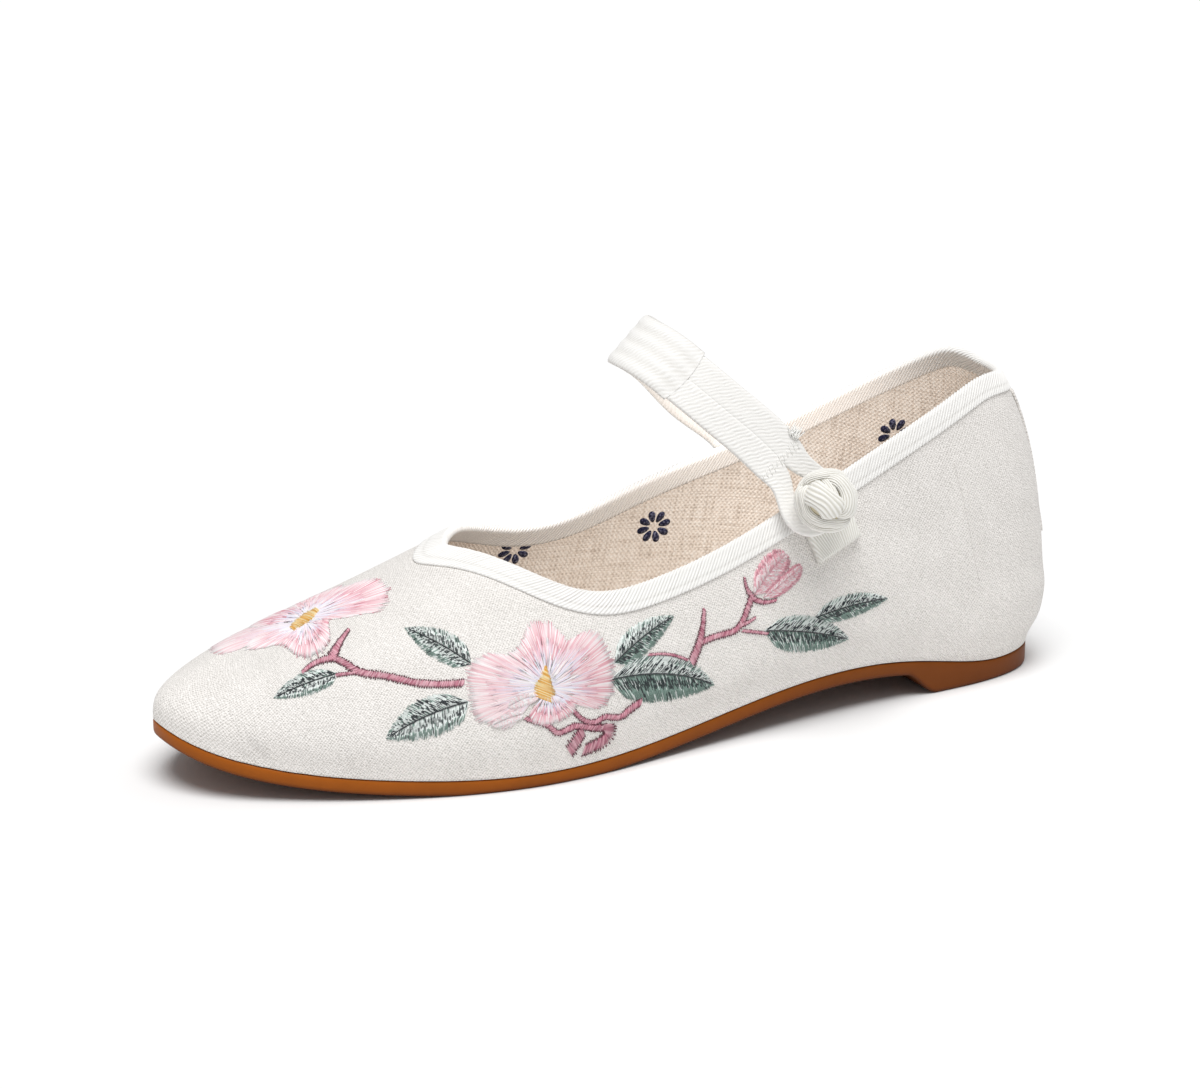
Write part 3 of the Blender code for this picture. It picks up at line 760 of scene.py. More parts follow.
def make_prints():
    """Small printed flowers on the lining: eight drop-shaped petals in a ring."""
    points, quads, _ = upper_surface(*LINING_MESH)
    normals = normals_of(points, quads)
    wall = Surface(points - normals * LINING_FACE, quads)
    ink = linen("ink", NAVY_PALE, NAVY, NAVY * 0.6)
    turns = np.linspace(0, 2 * math.pi, 14, endpoint=False)
    out = PRINT_RING + PRINT_LONG * np.cos(turns)
    wide = PRINT_WIDE * np.sin(turns) * (1 + 0.25 * np.cos(turns))
    petal_faces = tube_faces(2, len(turns))
    corners = np.concatenate(petal_faces)
    rings, faces, charts = [], [], []
    for side, length, height in PRINTS:
        section = last_points(station_at(length), np.linspace(0, 90, 200), side)
        middle, normal = wall.nearest(between(line_length(section), section, height))
        heelward = unit(np.cross(normal, UP))
        upward = np.cross(heelward, normal)
        for petal in range(PRINT_PETALS):
            turn = 2 * math.pi * (petal + 0.3) / PRINT_PETALS
            across = out * math.cos(turn) - wide * math.sin(turn)
            up = out * math.sin(turn) + wide * math.cos(turn)
            ring, facing = wall.nearest(middle + heelward * across[:, None] + upward * up[:, None])
            faces += shifted(petal_faces, len(rings) * len(turns))
            rings += [ring - facing * PRINT_OFF, ring - facing * (PRINT_OFF + PRINT_THICK)]
            flat = np.stack((across, up), -1)
            charts.append(np.concatenate((flat, flat))[corners])
    charts = np.concatenate(charts)
    return add_piece("lining_print", np.concatenate(rings), faces, ink, None, charts)


# Binding: herringbone tape in two bands, with a sewn groove between them
TWILL_PITCH = 1.1
TWILL_DEPTH = 0.13
TWILL_LEAN = 1.0
TWILL_STEPS = 6
TAPE_CLOTH = 0.5
TAPE_REACH = 5.3
TAPE_TIP_REACH = 3.1
TAPE_TIP_FADE = 10.0
TAPE_INSIDE = 5.2
TAPE_OUT_ROWS = 17
TAPE_IN_ROWS = 8
TAPE_WRAP = 16
BAND_GROOVE = 1.9
GROOVE_BREADTH = 0.3
GROOVE_DEPTH = 0.1
FOLD_TURNS = (20.0, 55.0, 90.0, 125.0, 160.0)
# Fold at the lower end of the back strip, and how far the strip's middle stands over its edges
STRIP_FOLD = 8.0
STRIP_FOLD_STAND = 0.5
STRIP_PUFF = 0.25


def make_binding(skin, twill):
    """Tape folded over the collar edge; its mesh lines run along its diagonal ribs."""
    stations = throat_stations(90)
    loop = [(station, OUTER) for station in stations]
    loop += [(station, INNER) for station in stations[-2:0:-1]]
    heel = len(stations) - 1
    tip = last_points(THROAT_TIP, 90.0, OUTER)
    turns = np.radians(FOLD_TURNS)[:, None]
    rows, facing = [], []
    for station, side in loop[heel:] + loop[:heel]:
        point, _, down, outward = skin.edge_frame(station, side)
        reach = TAPE_REACH + TAPE_TIP_REACH * math.exp(-np.linalg.norm(point - tip) / TAPE_TIP_FADE)
        middle = point - outward * LINING_FACE / 2
        round_out = outward * np.cos(turns)
        round_up = down * np.sin(turns)
        outside = point + down * np.linspace(reach, 0.2, TAPE_OUT_ROWS)[:, None]
        inside = point + down * np.linspace(0.3, TAPE_INSIDE, TAPE_IN_ROWS)[:, None]
        out_place, out_normal = skin.nearest(outside)
        in_place, in_normal = skin.nearest(inside)
        rows.append(np.concatenate((
            out_place + out_normal * TAPE_CLOTH,
            middle + round_out * (LINING_FACE / 2 + TAPE_CLOTH) - round_up * (TAPE_CLOTH + 0.2),
            in_place - in_normal * (LINING_FACE + TAPE_CLOTH))))
        facing.append(np.concatenate((out_normal, unit(round_out - round_up), -in_normal)))
    rows = np.array(rows[-TAPE_WRAP:] + rows + rows[:TAPE_WRAP + 1])
    facing = np.array(facing[-TAPE_WRAP:] + facing + facing[:TAPE_WRAP + 1])
    across = rows_length(rows).mean(axis=0)
    run = line_length(rows[:, TAPE_OUT_ROWS // 2])
    first, last = run[TAPE_WRAP], run[-TAPE_WRAP - 1]
    ribs = round((last - first) / TWILL_PITCH)
    fine = np.linspace(first, last, ribs * TWILL_STEPS, endpoint=False)
    leaning = [fine + TWILL_LEAN * reach for reach in across]
    rows = np.stack([smooth(run, rows[:, place], at) for place, at in enumerate(leaning)], axis=1)
    facing = unit(np.stack([smooth(run, facing[:, place], at) for place, at in enumerate(leaning)], axis=1))
    step = np.arange(len(fine))
    uneven = np.random.default_rng(SEED).uniform(0.6, 1.2, ribs)[step // TWILL_STEPS]
    rib = (np.sin(2 * np.pi * step / TWILL_STEPS) * uneven)[:, None]
    strong = np.where(across < BAND_GROOVE, 0.8, 1.0)[None, :]
    groove = np.exp(-((across - BAND_GROOVE) / GROOVE_BREADTH) ** 2)[None, :]
    edge = np.exp(-(across / GROOVE_BREADTH) ** 2)[None, :]
    lift = TWILL_DEPTH * rib * strong - GROOVE_DEPTH * groove - GROOVE_DEPTH * edge
    top = rows + facing * lift[..., None]
    under = np.unique(np.append(np.arange(0, len(across), 4), len(across) - 1))[::-1]
    back = rows[:, under] - facing[:, under] * TAPE_CLOTH * 0.9
    rings = np.concatenate((top, back), axis=1)
    # Painted shade: the tape is darker in its rib valleys, in the groove and on its hidden back
    share = np.clip(0.72 + 0.34 * rib * strong - 0.25 * groove, 0.0, 1.0)
    share = np.concatenate((share, np.full(back.shape[:2], 0.4)), axis=1)
    tints = tinted(TWILL_PAINTED_SHADE, TWILL, share)
    return add_rings("collar_tape", rings, twill, "collar_binding", tints, closed=True)


def make_back_strip(skin, cotton):
    """Tape over the back seam, folded at its lower end."""
    angles = np.linspace(STRIP_TOP_ANGLE, STRIP_END_ANGLE, 60)
    offsets = np.linspace(-STRIP_WIDTH / 2, STRIP_WIDTH / 2, 25)
    seam = last_points(1.0, angles, OUTER)
    places, normals = skin.nearest(seam[:, None, :] + STRAP_ACROSS * offsets[None, :, None])
    down = line_length(seam)
    stand = STRIP_FOLD_STAND * ease((down - down[-1] + STRIP_FOLD) / STRIP_FOLD)[:, None]
    edge = np.minimum(np.abs(np.abs(offsets) - STRIP_WIDTH / 2), 1.0)[None, :]
    puff = STRIP_PUFF * ease(edge) + stand
    top = places + normals * (GAP + STRIP_THICKNESS - STRIP_PUFF + puff)[..., None]
    low = places + normals * (GAP + stand)[..., None]
    rings = np.concatenate((top, low[:, ::-1]), axis=1)
    across = np.concatenate((offsets, offsets[::-1]))
    flat = np.stack(np.broadcast_arrays(across[None, :], down[:, None]), -1)
    add_rings("back_tape", rings, cotton, "back_strip", flat=flat)


class Strap:
    """Middle line of the strap from the inner side, over the instep, to the button and past it."""

    def __init__(self, skin):
        inner = skin.edge_frame(STRAP_INNER_STATION, INNER)
        button = skin.edge_frame(BUTTON_STATION, OUTER)
        lift = OVER_BINDING + BAND_THICKNESS / 2
        point, heelward, down, _ = inner
        points, widths = [], []
        for reach in (STRAP_SEWN, STRAP_SEWN / 2, 1.0):
            place, normal = skin.nearest(point + down * reach)
            points.append(place + normal * (lift + LINING_EASE))
            widths.append(-heelward)
        forward = unit(np.cross(STRAP_ACROSS, STRAP_DROP))
        widths[-1] = unit(forward - heelward)
        for across, drop, back in STRAP_ARCH:
            points.append(STRAP_TOP + STRAP_ACROSS * across + STRAP_DROP * drop - forward * back)
            widths.append(forward)
        point, heelward, down, outward = button
        strands = TAB_TOP + GAP + STRAND_THICKNESS / 2
        neck = point + outward * (strands + LOOP_UNDER)
        points += [neck, neck + down * STRAP_PAST_BUTTON]
        widths += [-heelward, -heelward]
        self.points = np.array(points)
        self.widths = np.array(widths)
        self.lengths = line_length(self.points)
        self.neck_length = self.lengths[-2]
        self.seam_length = self.neck_length - SEAM_TO_BUTTON

    def at(self, length):
        """Points, directions, width directions and outward directions at lengths along the strap."""
        length = np.asarray(length, float)
        point = smooth(self.lengths, self.points, length)
        ahead = smooth(self.lengths, self.points, length + 0.5)
        behind = smooth(self.lengths, self.points, length - 0.5)
        direction = unit(ahead - behind)
        width = square_to(direction, smooth(self.lengths, self.widths, length))
        return point, direction, width, np.cross(width, direction)


# Slanting ribs of the strap's tape, and the step of the mesh along it
STRAP_STEP = 0.22
RIB_DEPTH = 0.11
RIB_PITCH = 1.15
RIB_LEAN = 0.9
RIB_LEAN_TOEWARD = 0.65
# End of the band: lengths over which it thins and rounds off, and how far its middle reaches past its corners
BAND_THINNING = 5.0
BAND_ROUNDING = 6.0
BAND_BULGE = 1.2


def slanting_ribs(length, offset):
    """Height of the strap's ribs, from -1 to 1, at lengths along it and offsets across it toward the toe."""
    lean = np.where(offset > 0, RIB_LEAN_TOEWARD, RIB_LEAN)
    wander = 0.1 * np.sin(1.7 * length + 0.9 * offset) + 0.1 * np.sin(0.6 * length - 1.3 * offset)
    broken = 0.1 * np.sin(3.1 * offset + 0.8 * np.sin(0.5 * length))
    strength = 0.65 + 0.2 * np.sin(0.37 * length + 1.9 * offset) + 0.15 * np.sin(1.3 * length - 2.7 * offset)
    return strength * np.sin(2 * np.pi * (length + lean * offset + wander + broken) / RIB_PITCH)


def flat_ring(count, square=8):
    """Positions round the section of a flat band: across and up, both from -1 to 1."""
    spread = np.linspace(1, -1, count // 2)
    crown = (1 - np.abs(spread) ** square) ** 0.5
    return np.concatenate((spread, spread[-2:0:-1])), np.concatenate((crown, -crown[-2:0:-1]))


def make_strap_band(strap, tape):
    """Band over the instep: four lengthwise ridges crossed by slanting ribs, sinking into its sewn end."""
    lengths = np.append(np.arange(0.0, strap.seam_length - 0.2, STRAP_STEP), strap.seam_length)
    point, direction, width, outward = strap.at(lengths)
    across, up = flat_ring(92)
    side = across * BAND_WIDTH / 2
    ridge = 0.5 - 0.5 * np.cos(4 * np.pi * across)
    rib = slanting_ribs(lengths[:, None], side[None, :])
    thin = ease((lengths - strap.seam_length + BAND_THINNING) / BAND_THINNING)[:, None]
    half = BAND_THICKNESS / 2
    top = (half - 0.15 + 0.2 * ridge + RIB_DEPTH * rib) * (1 - thin) + (0.05 * rib - 0.68) * thin
    bottom = -half * (1 - thin) - thin
    lift = (top + bottom) / 2 + up * (top - bottom) / 2
    rounding = ease((lengths - strap.seam_length + BAND_ROUNDING) / BAND_ROUNDING)[:, None]
    bulge = BAND_BULGE * rounding * (1 - across ** 2)
    rings = sections(point, width, outward, side, lift) + direction[:, None] * bulge[..., None]
    # Painted shade: darker in the rib valleys and between the four ridges
    share = np.clip(0.5 + 0.35 * rib + 0.3 * ridge, 0.0, 1.0)
    tints = tinted(STRAP_PAINTED_SHADE, STRAP_PALE, share)
    return add_rings("strap_tape", rings, tape, "strap_band", tints)


def loop_route(strap):
    """Length along the strap and offset across it, down one strand, round the button and back."""
    start = strap.seam_length - LOOP_OVERLAP
    closed = STRAND_WIDTH / 2 + GAP / 2
    parting = strap.neck_length - LOOP_PARTING
    route = [(length, closed) for length in np.linspace(start, parting, 9)]
    for share in np.linspace(0, 1, 6)[1:]:
        route.append((parting + LOOP_PARTING * share, closed + (LOOP_RADIUS - closed) * float(ease(share))))
    for turn in np.linspace(0, math.pi / 2, 6)[1:]:
        route.append((strap.neck_length + LOOP_RADIUS * math.sin(turn), LOOP_RADIUS * math.cos(turn)))
    return np.array(route + [(length, -offset) for length, offset in route[-2::-1]])


def make_button_loop(strap, tape):
    """Doubled tape under the end of the band, which parts round the button."""
    route = loop_route(strap)
    run = line_length(route)
    route = smooth(run, route, np.arange(0.0, run[-1], STRAP_STEP))
    heading = unit(np.gradient(route, axis=0))
    point, direction, width, outward = strap.at(route[:, 0])
    past_parting = route[:, 0] - strap.neck_length + LOOP_PARTING
    parted = ease(past_parting / LOOP_PARTING)
    raised = 0.45 * ease((strap.seam_length + 16.0 - route[:, 0]) / 12.0)
    centre = point + width * route[:, 1:] + outward * (raised - LOOP_UNDER)[:, None]
    wide = width * heading[:, :1] - direction * heading[:, 1:]
    closed = STRAND_WIDTH + GAP + 0.9
    breadth = closed + (LOOP_WIDTH - closed) * ease((past_parting + 4.0) / LOOP_PARTING)
    across, up = flat_ring(52, 10)
    side = across[None, :] * breadth[:, None] / 2
    rib = slanting_ribs(route[:, :1] - side * heading[:, 1:], route[:, 1:] + side * heading[:, :1])
    rib = rib * (1 - 0.5 * parted)[:, None]
    rings = sections(centre, wide, outward, side, up * (STRAND_THICKNESS / 2 - 0.1 + RIB_DEPTH * rib))
    # Painted shade: darker in the rib valleys
    share = np.clip(0.65 + 0.35 * rib, 0.0, 1.0)
    tints = tinted(STRAP_PAINTED_SHADE, STRAP_PALE, share)
    return add_rings("loop_tape", rings, tape, "button_loop", tints)


def raise_threads(name, centre, normal, widths, lifts, tints, material):
    """Threads along rows of points, each a low ridge that dips in at both ends."""
    count, points = centre.shape[:2]
    wide = np.cross(unit(np.gradient(centre, axis=1)), normal)
    share = np.linspace(0, 1, points)
    arch = np.sqrt(np.sin(np.pi * (0.08 + 0.84 * share)))[None, :, None]
    taper = (0.55 + 0.45 * np.sin(np.pi * (0.1 + 0.8 * share)))[None, :, None]
    lift = np.asarray(lifts)[:, None, None] * arch
    half = np.asarray(widths)[:, None, None] / 2
    foot = centre + normal * (lift - 0.08)
    crown = centre + normal * (lift + half * 0.6)
    rings = np.stack((foot - wide * half * taper, crown, foot + wide * half * taper), axis=2)
    sides = np.array(tube_faces(points, 3, capped=False))
    caps = np.array(((2, 1, 0), (points * 3 - 3, points * 3 - 2, points * 3 - 1)))
    starts = (np.arange(count) * points * 3)[:, None, None]
    faces = (sides[None] + starts).reshape(-1, 4).tolist()
    faces += (caps[None] + starts).reshape(-1, 3).tolist()
    tints = np.repeat(np.asarray(tints)[:, :, None, :], 3, axis=2).reshape(-1, 3)
    return add_piece(name, rings.reshape(-1, 3), faces, material, tints=tints)


# Stitches that close the strap: thread, spacing, and how many threads are frayed
STITCH_THREAD = 0.34
STITCH_SPACING = 1.2
FRAYED_THREADS = 26


def make_strap_stitches(strap, satin):
    """Stitches that close the strap where its strands part, with a frayed end on the heel side."""
    random = np.random.default_rng(SEED)
    parting = strap.neck_length - LOOP_PARTING
    ends, lifts = [], []
    for offset in np.arange(-6.0, 6.1, STITCH_SPACING):
        lean = random.uniform(0.5, 1.4)
        ends.append(((parting - 2.0 - lean, offset - 0.3), (parting - 2.0 + lean, offset + 0.6)))
        lifts.append(0.02)
    for _ in range(FRAYED_THREADS):
        start = np.array((parting - 4.0 + random.uniform(-1.2, 1.2), -5.6 - random.uniform(0.0, 0.8)))
        ends.append((start, start - (random.uniform(-0.8, 2.4), random.uniform(1.0, 3.4))))
        lifts.append(random.uniform(0.05, 0.5))
    ends = np.array(ends)
    share = np.linspace(0, 1, 5)[None, :, None]
    flat = ends[:, :1] * (1 - share) + ends[:, 1:] * share
    point, _, width, outward = strap.at(flat[..., 0].ravel())
    point, width, outward = (part.reshape(flat.shape[:2] + (3,)) for part in (point, width, outward))
    centre = point + width * flat[..., 1:] + outward * (STRAND_THICKNESS / 2 - LOOP_UNDER)
    tints = np.broadcast_to(CORD, centre.shape)
    widths = np.full(len(ends), STITCH_THREAD)
    raise_threads("strap_stitching", centre, outward, widths, lifts, tints, satin)


# Strands of the knot: breadth, distance from the ball's middle, and the places that each passes on the face
# that the ball shows, in millimetres across and up
KNOT_FIBRES = 16
KNOT_THICK = 2.4
KNOT_STRANDS = (
    (3.0, 6.0, ((-1.4, 5.6), (0.2, 3.2), (1.3, 0.6), (1.6, -2.0), (1.2, -4.6))),
    (2.6, 6.4, ((5.8, 5.2), (7.2, 2.6), (7.5, -0.6), (6.6, -3.8), (4.8, -5.6))),
    (3.0, 6.4, ((-4.2, 4.2), (-5.4, 1.8), (-5.4, -1.0), (-4.4, -3.4), (-2.0, -5.0), (1.4, -5.5), (5.0, -4.8),
                (6.8, -3.0))),
    (3.6, 6.7, ((-6.2, 4.6), (-7.4, 2.4), (-7.5, -0.4), (-6.4, -3.8), (-4.0, -6.0), (0.2, -7.0), (4.6, -6.4),
                (7.0, -4.2))),
    (5.0, 6.5, ((-6.4, 3.0), (-4.6, 4.8), (-1.6, 6.0), (1.6, 6.2), (4.2, 5.4), (6.2, 3.6))),
    (6.2, 6.7, ((-5.2, 2.8), (-3.6, 1.8), (-1.6, 0.4), (0.2, -1.2), (1.6, -2.8), (2.4, -4.0))),
    (5.0, 6.9, ((0.4, 6.4), (2.8, 4.8), (4.6, 2.4), (5.2, -0.4), (4.6, -2.8), (3.0, -4.4))),
)
KNOT_FACE = np.array((-0.42, -0.85, 0.3))
KNOT_CORE = 6.3
KNOT_STEP = 0.4
KNOT_SINK = 0.75


def swept_cord(points, facing, breadth, thickness, spacing):
    """Flat satin cord along a path: its rings, lengthwise fibres included, and a painted shade for each
    point.
    """
    run = line_length(points)
    fine = np.arange(0.0, run[-1], spacing)
    centre = smooth(run, points, fine)
    heading = unit(np.gradient(centre, axis=0))
    up = square_to(heading, smooth(run, facing, fine))
    wide = np.cross(heading, up)
    turns = np.linspace(0, 2 * np.pi, KNOT_FIBRES * 6, endpoint=False)
    twist = 1.2 * np.sin(0.45 * fine + 0.7)[:, None] + 0.7 * np.sin(0.9 * fine[:, None] + 3 * turns)
    fibre = np.cos(turns * KNOT_FIBRES + twist)
    swell = 1 + 0.07 * fibre + 0.05 * np.sin(0.8 * fine)[:, None]
    taper = (0.6 + 0.4 * ease(np.minimum(fine, fine[-1] - fine) / 3.0))[:, None]
    across = np.cos(turns) * swell * taper * breadth / 2
    lift = np.sin(turns) * swell * thickness / 2
    return sections(centre, wide, up, across, lift), 0.55 + 0.45 * fibre


def make_knot(skin, satin):
    """Knotted ball: satin cords laid over and under one another on a core."""
    point, heelward, down, outward = skin.edge_frame(BUTTON_STATION, OUTER)
    loop_inside = LOOP_RADIUS - LOOP_WIDTH / 2
    seat = BUTTON_RADIUS - math.sqrt(BUTTON_RADIUS ** 2 - loop_inside ** 2)
    foot = TAB_TOP + GAP + STRAND_THICKNESS + GAP - seat
    centre = point + outward * (foot + BUTTON_RADIUS)
    toward = unit(KNOT_FACE)
    right = unit(np.cross(UP, toward))
    axes = np.stack((right, np.cross(toward, right), toward))
    points, faces, tints = [], [], []
    start = 0
    for facing_side in (1, -1):
        for breadth, radius, route in KNOT_STRANDS:
            flat = np.array(route) * (1, facing_side)
            depth = np.sqrt(np.maximum(radius ** 2 - (flat ** 2).sum(axis=1), 0.2))
            local = unit(np.column_stack((flat, depth * facing_side))) * radius
            local[[0, -1]] *= KNOT_SINK
            path = centre + local @ axes
            rings, shade = swept_cord(path, unit(local) @ axes, breadth, KNOT_THICK, KNOT_STEP)
            points.append(rings.reshape(-1, 3))
            # Painted shade: darker between the cord's fibres
            tints.append(tinted(CORD_PAINTED_SHADE, CORD, shade))
            faces += shifted(tube_faces(len(rings), rings.shape[1]), start)
            start += shade.size
    turns = np.linspace(0, 2 * np.pi, 32, endpoint=False)
    tilts = np.radians(np.linspace(-88, 88, 17))[:, None]
    core = np.broadcast_arrays(np.cos(tilts) * np.cos(turns), np.cos(tilts) * np.sin(turns), np.sin(tilts))
    core = centre + np.stack(core, -1) @ np.stack((heelward, -down, outward)) * KNOT_CORE
    core[:2] -= outward * (BUTTON_RADIUS + foot - TAB_TOP - KNOT_CORE)
    points.append(core.reshape(-1, 3))
    # Painted shade: the core is a deeper beige than the cord, for the shaded slits between the strands
    tints.append(np.broadcast_to(CORD_CORE_PAINTED_SHADE, points[-1].shape))
    faces += shifted(tube_faces(len(core), core.shape[1]), start)
    add_piece("knot_cord", np.concatenate(points), faces, satin, "knot_button",
              tints=np.concatenate(tints))


# Tab: its rounded edge, the slit between the two cord ends and the width of a rib
TAB_EDGE = 0.8
TAB_SPLIT = 1.0
TAB_RIB = 0.75


def make_tab(skin, satin):
    """Ends of the button's cord, sewn flat over the binding, with satin ribs that draw together below."""
    point, heelward, down, _ = skin.edge_frame(BUTTON_STATION, OUTER)
    reaches = np.linspace(0.5, TAB_LENGTH, 64)
    offsets = np.linspace(-TAB_WIDTH / 2, TAB_WIDTH / 2, 100)
    spot = point + down * reaches[:, None, None] + heelward * (TAB_SHIFT + offsets)[None, :, None]
    places, normals = skin.nearest(spot)
    edge = np.minimum(np.abs(np.abs(offsets) - TAB_WIDTH / 2), TAB_EDGE)[None, :] / TAB_EDGE
    finish = np.minimum(TAB_LENGTH - reaches, TAB_EDGE)[:, None] / TAB_EDGE
    from_split = offsets[None, :] - TAB_SPLIT
    fan = from_split / (TAB_LENGTH * 2.2 - reaches[:, None])
    rib = np.sin(2 * np.pi * fan * TAB_LENGTH * 1.6 / TAB_RIB)
    split = -0.4 * np.exp(-(from_split / 0.6) ** 2)
    rounded = 0.5 + 0.5 * np.minimum(ease(edge), ease(finish))
    lift = OVER_BINDING + TAB_THICKNESS * rounded + 0.07 * rib + split
    top = places + normals * lift[..., None]
    low = places + normals * 0.05
    rings = np.concatenate((top, low[:, ::-1]), axis=1)
    # Painted shade: darker in the tab's rib valleys and on its underside
    shade = np.concatenate((0.6 + 0.4 * rib, np.full_like(rib, 0.4)), axis=1)
    add_rings("knot_ends", rings, satin, "knot_tab", tinted(CORD_PAINTED_SHADE, CORD, shade))


# Edge of the sole: how far in and how far from the top or from the tread, and the painted shade of each line,
# darker toward the tread
SOLE_TOP_EDGE = ((0.5, 0.0), (0.12, 0.12), (0.0, 0.4), (0.0, 1.2))
SOLE_LOW_EDGE = ((0.0, 1.3), (0.05, 0.8), (0.2, 0.35), (0.5, 0.08), (1.0, 0.0))
SOLE_EDGE_PAINTED_SHADE = (0.7, 0.9, 1.0, 0.9, 0.75, 0.55, 0.2, 0.0, 0.15)
# Painted light and shade along the sole, lighter at the toe and darker toward the heel: its factor at the
# toe, under the ball and at the heel
SOLE_PAINTED_LIGHT_ALONG = (1.3, 1.0, 0.3)
BALL_LENGTH = 90.0
# Cross grooves of the tread: where they lie along the sole, their pitch and their depth
GROOVED = ((22.0, 112.0), (209.0, 233.0))
TREAD_PITCH = 3.0
TREAD_DEPTH = 0.35


def make_outsole(material):
    """Rubber unit with painted shade toward its lower edge and toward the heel, and cross grooves under the
    tread.
    """
    even = station_at(np.linspace(0, SOLE_LENGTH, 700))
    stations = np.unique(np.concatenate((np.linspace(0, 1, 240), even)))
    lengths = along(stations)
    top = last_value("edge_z", stations)
    heel = ease((lengths - BREAST_FRONT) / (BREAST_BACK - BREAST_FRONT))
    tread = np.maximum(top - SOLE_EDGE - FLAT_DEPTH * (1 - heel), 0.0) * (1 - heel)
    grooved = np.any([(lengths > start) & (lengths < end) for start, end in GROOVED], axis=0)
    groove = TREAD_DEPTH * ease(np.sin(2 * np.pi * lengths / TREAD_PITCH) * 2) * grooved
    edges = []
    for side in (OUTER, INNER):
        flat, square = edge_plan(stations, side)
        column = [np.column_stack((flat - square * inset, top - drop)) for inset, drop in SOLE_TOP_EDGE]
        column += [np.column_stack((flat - square * inset, tread + rise)) for inset, rise in SOLE_LOW_EDGE]
        edges.append(column if side == OUTER else column[::-1])
    bottom = []
    for share in np.linspace(0, 1, 14)[1:-1]:
        spot = edges[0][-1] * (1 - share) + edges[1][0] * share
        spot[:, 2] += groove
        bottom.append(spot)
    lid = [edges[1][-1] * (1 - share) + edges[0][0] * share for share in np.linspace(0, 1, 8)[1:-1]]
    rings = np.stack(edges[0] + bottom + edges[1] + lid, axis=1)
    shades = np.array(SOLE_EDGE_PAINTED_SHADE)
    under = np.full(len(bottom), shades[-1])
    over = np.full(len(lid), shades[0])
    column = np.concatenate((shades, under, shades[::-1], over))
    # Painted light at the toe and painted shade toward the heel, times the painted shade down the edge
    fade = np.interp(lengths, (0.0, BALL_LENGTH, SOLE_LENGTH), SOLE_PAINTED_LIGHT_ALONG)
    tints = tinted(RUBBER_DARK, RUBBER, fade[:, None] * column)
    sole = add_rings("rubber_sole", rings, material, "outsole", tints, capped=False)
    closed = bmesh.new()
    closed.from_mesh(sole.data)
    bmesh.ops.remove_doubles(closed, verts=closed.verts, dist=0.02 * MM)
    closed.to_mesh(sole.data)
    closed.free()


def make_insole(material):
    """Linen sock with a rolled edge, higher over the heel wedge."""
    stations = np.linspace(0.02, 0.98, 160)
    sides = []
    for side in (OUTER, INNER):
        flat, square = edge_plan(stations, side)
        sides.append(flat - square * INSOLE_INSET)
    shares = np.concatenate(((0.0, 0.01, 0.03), np.linspace(0.06, 0.94, 26), (0.97, 0.99, 1.0)))
    plan = sides[0][:, None] * (1 - shares)[None, :, None] + sides[1][:, None] * shares[None, :, None]
    length = plan[..., 0] + SOLE_LENGTH / 2
    base = last_value("edge_z", station_at(length)) + GAP
    wedge = ease((length / SOLE_LENGTH - WEDGE_START) / (WEDGE_FULL - WEDGE_START))
    roll = 0.6 * (1 - ease(np.minimum(shares, 1 - shares) / 0.04))[None, :]
    top = base + INSOLE_FRONT + (INSOLE_HEEL - INSOLE_FRONT) * wedge - roll
    upper = np.concatenate((plan, top[..., None]), axis=-1)
    lower = np.concatenate((plan, base[..., None]), axis=-1)
    rings = np.concatenate((upper, lower[:, ::-1]), axis=1)
    add_rings("sock", rings, material, "insole", flat=rings[..., :2])


# Threads of the embroidery: their width and spacing, the points along a stitch, and how far the layers of
# stitches stand off the cloth
THREAD = 0.36
THREAD_PITCH = 0.26
FINE_THREAD = 0.2
RIM_THREAD = 0.34
STITCH_POINTS = 5
PETAL_LIFT = 0.12
PETAL_LIFT_STEP = 0.1
LAYER_LIFT = 0.03
LEAF_LIFT = 0.16
LEAF_FINE_LIFT = 0.11
MIDRIB_LIFT = 0.2
STEM_LIFT = 0.25
LOBE_LIFT = 0.5
GROUND_LIFT = 0.24
HEART_LIFT = 0.55


class Embroidery:
    """Collects satin stitches on a chart of the upper and makes them as raised threads."""

    def __init__(self, skin, place):
        self.skin = skin
        self.place = place
        self.paths, self.widths, self.lifts, self.tints = [], [], [], []
        self.random = np.random.default_rng(SEED)

    def stitch(self, start, end, lift, *colours, width=THREAD):
        """One stitch from start to end on the chart, in one colour or through several."""
        share = np.linspace(0, 1, STITCH_POINTS)
        start, end = np.asarray(start, float), np.asarray(end, float)
        self.paths.append(start + (end - start) * share[:, None])
        self.widths.append(width)
        self.lifts.append(lift)
        table = np.array(colours)
        self.tints.append(between(np.linspace(0, 1, len(table)), table, share))

    def shade(self, colour, spread=0.08):
        return np.clip(colour * (1 + self.random.uniform(-spread, spread)), 0, 1)

    def pick(self, choices):
        """One of some colours, each with its share, a little lighter or darker."""
        shares = [share for share, _ in choices]
        return self.shade(choices[self.random.choice(len(choices), p=shares)][1])

    def make(self, name, material):
        centre, normal = self.skin.nearest(self.place(np.array(self.paths)))
        return raise_threads(name, centre, normal, self.widths, self.lifts, self.tints, material)


def curve_through(points, count):
    """Evenly spaced points on a spline through a short list."""
    points = np.array(points, float)
    run = line_length(points)
    dense = smooth(run, points, np.linspace(0, run[-1], 200))
    length = line_length(dense)
    return between(length, dense, np.linspace(0, length[-1], count))


def path_length(points):
    points = np.array(points, float)
    return float(np.linalg.norm(np.diff(points, axis=0), axis=1).sum())


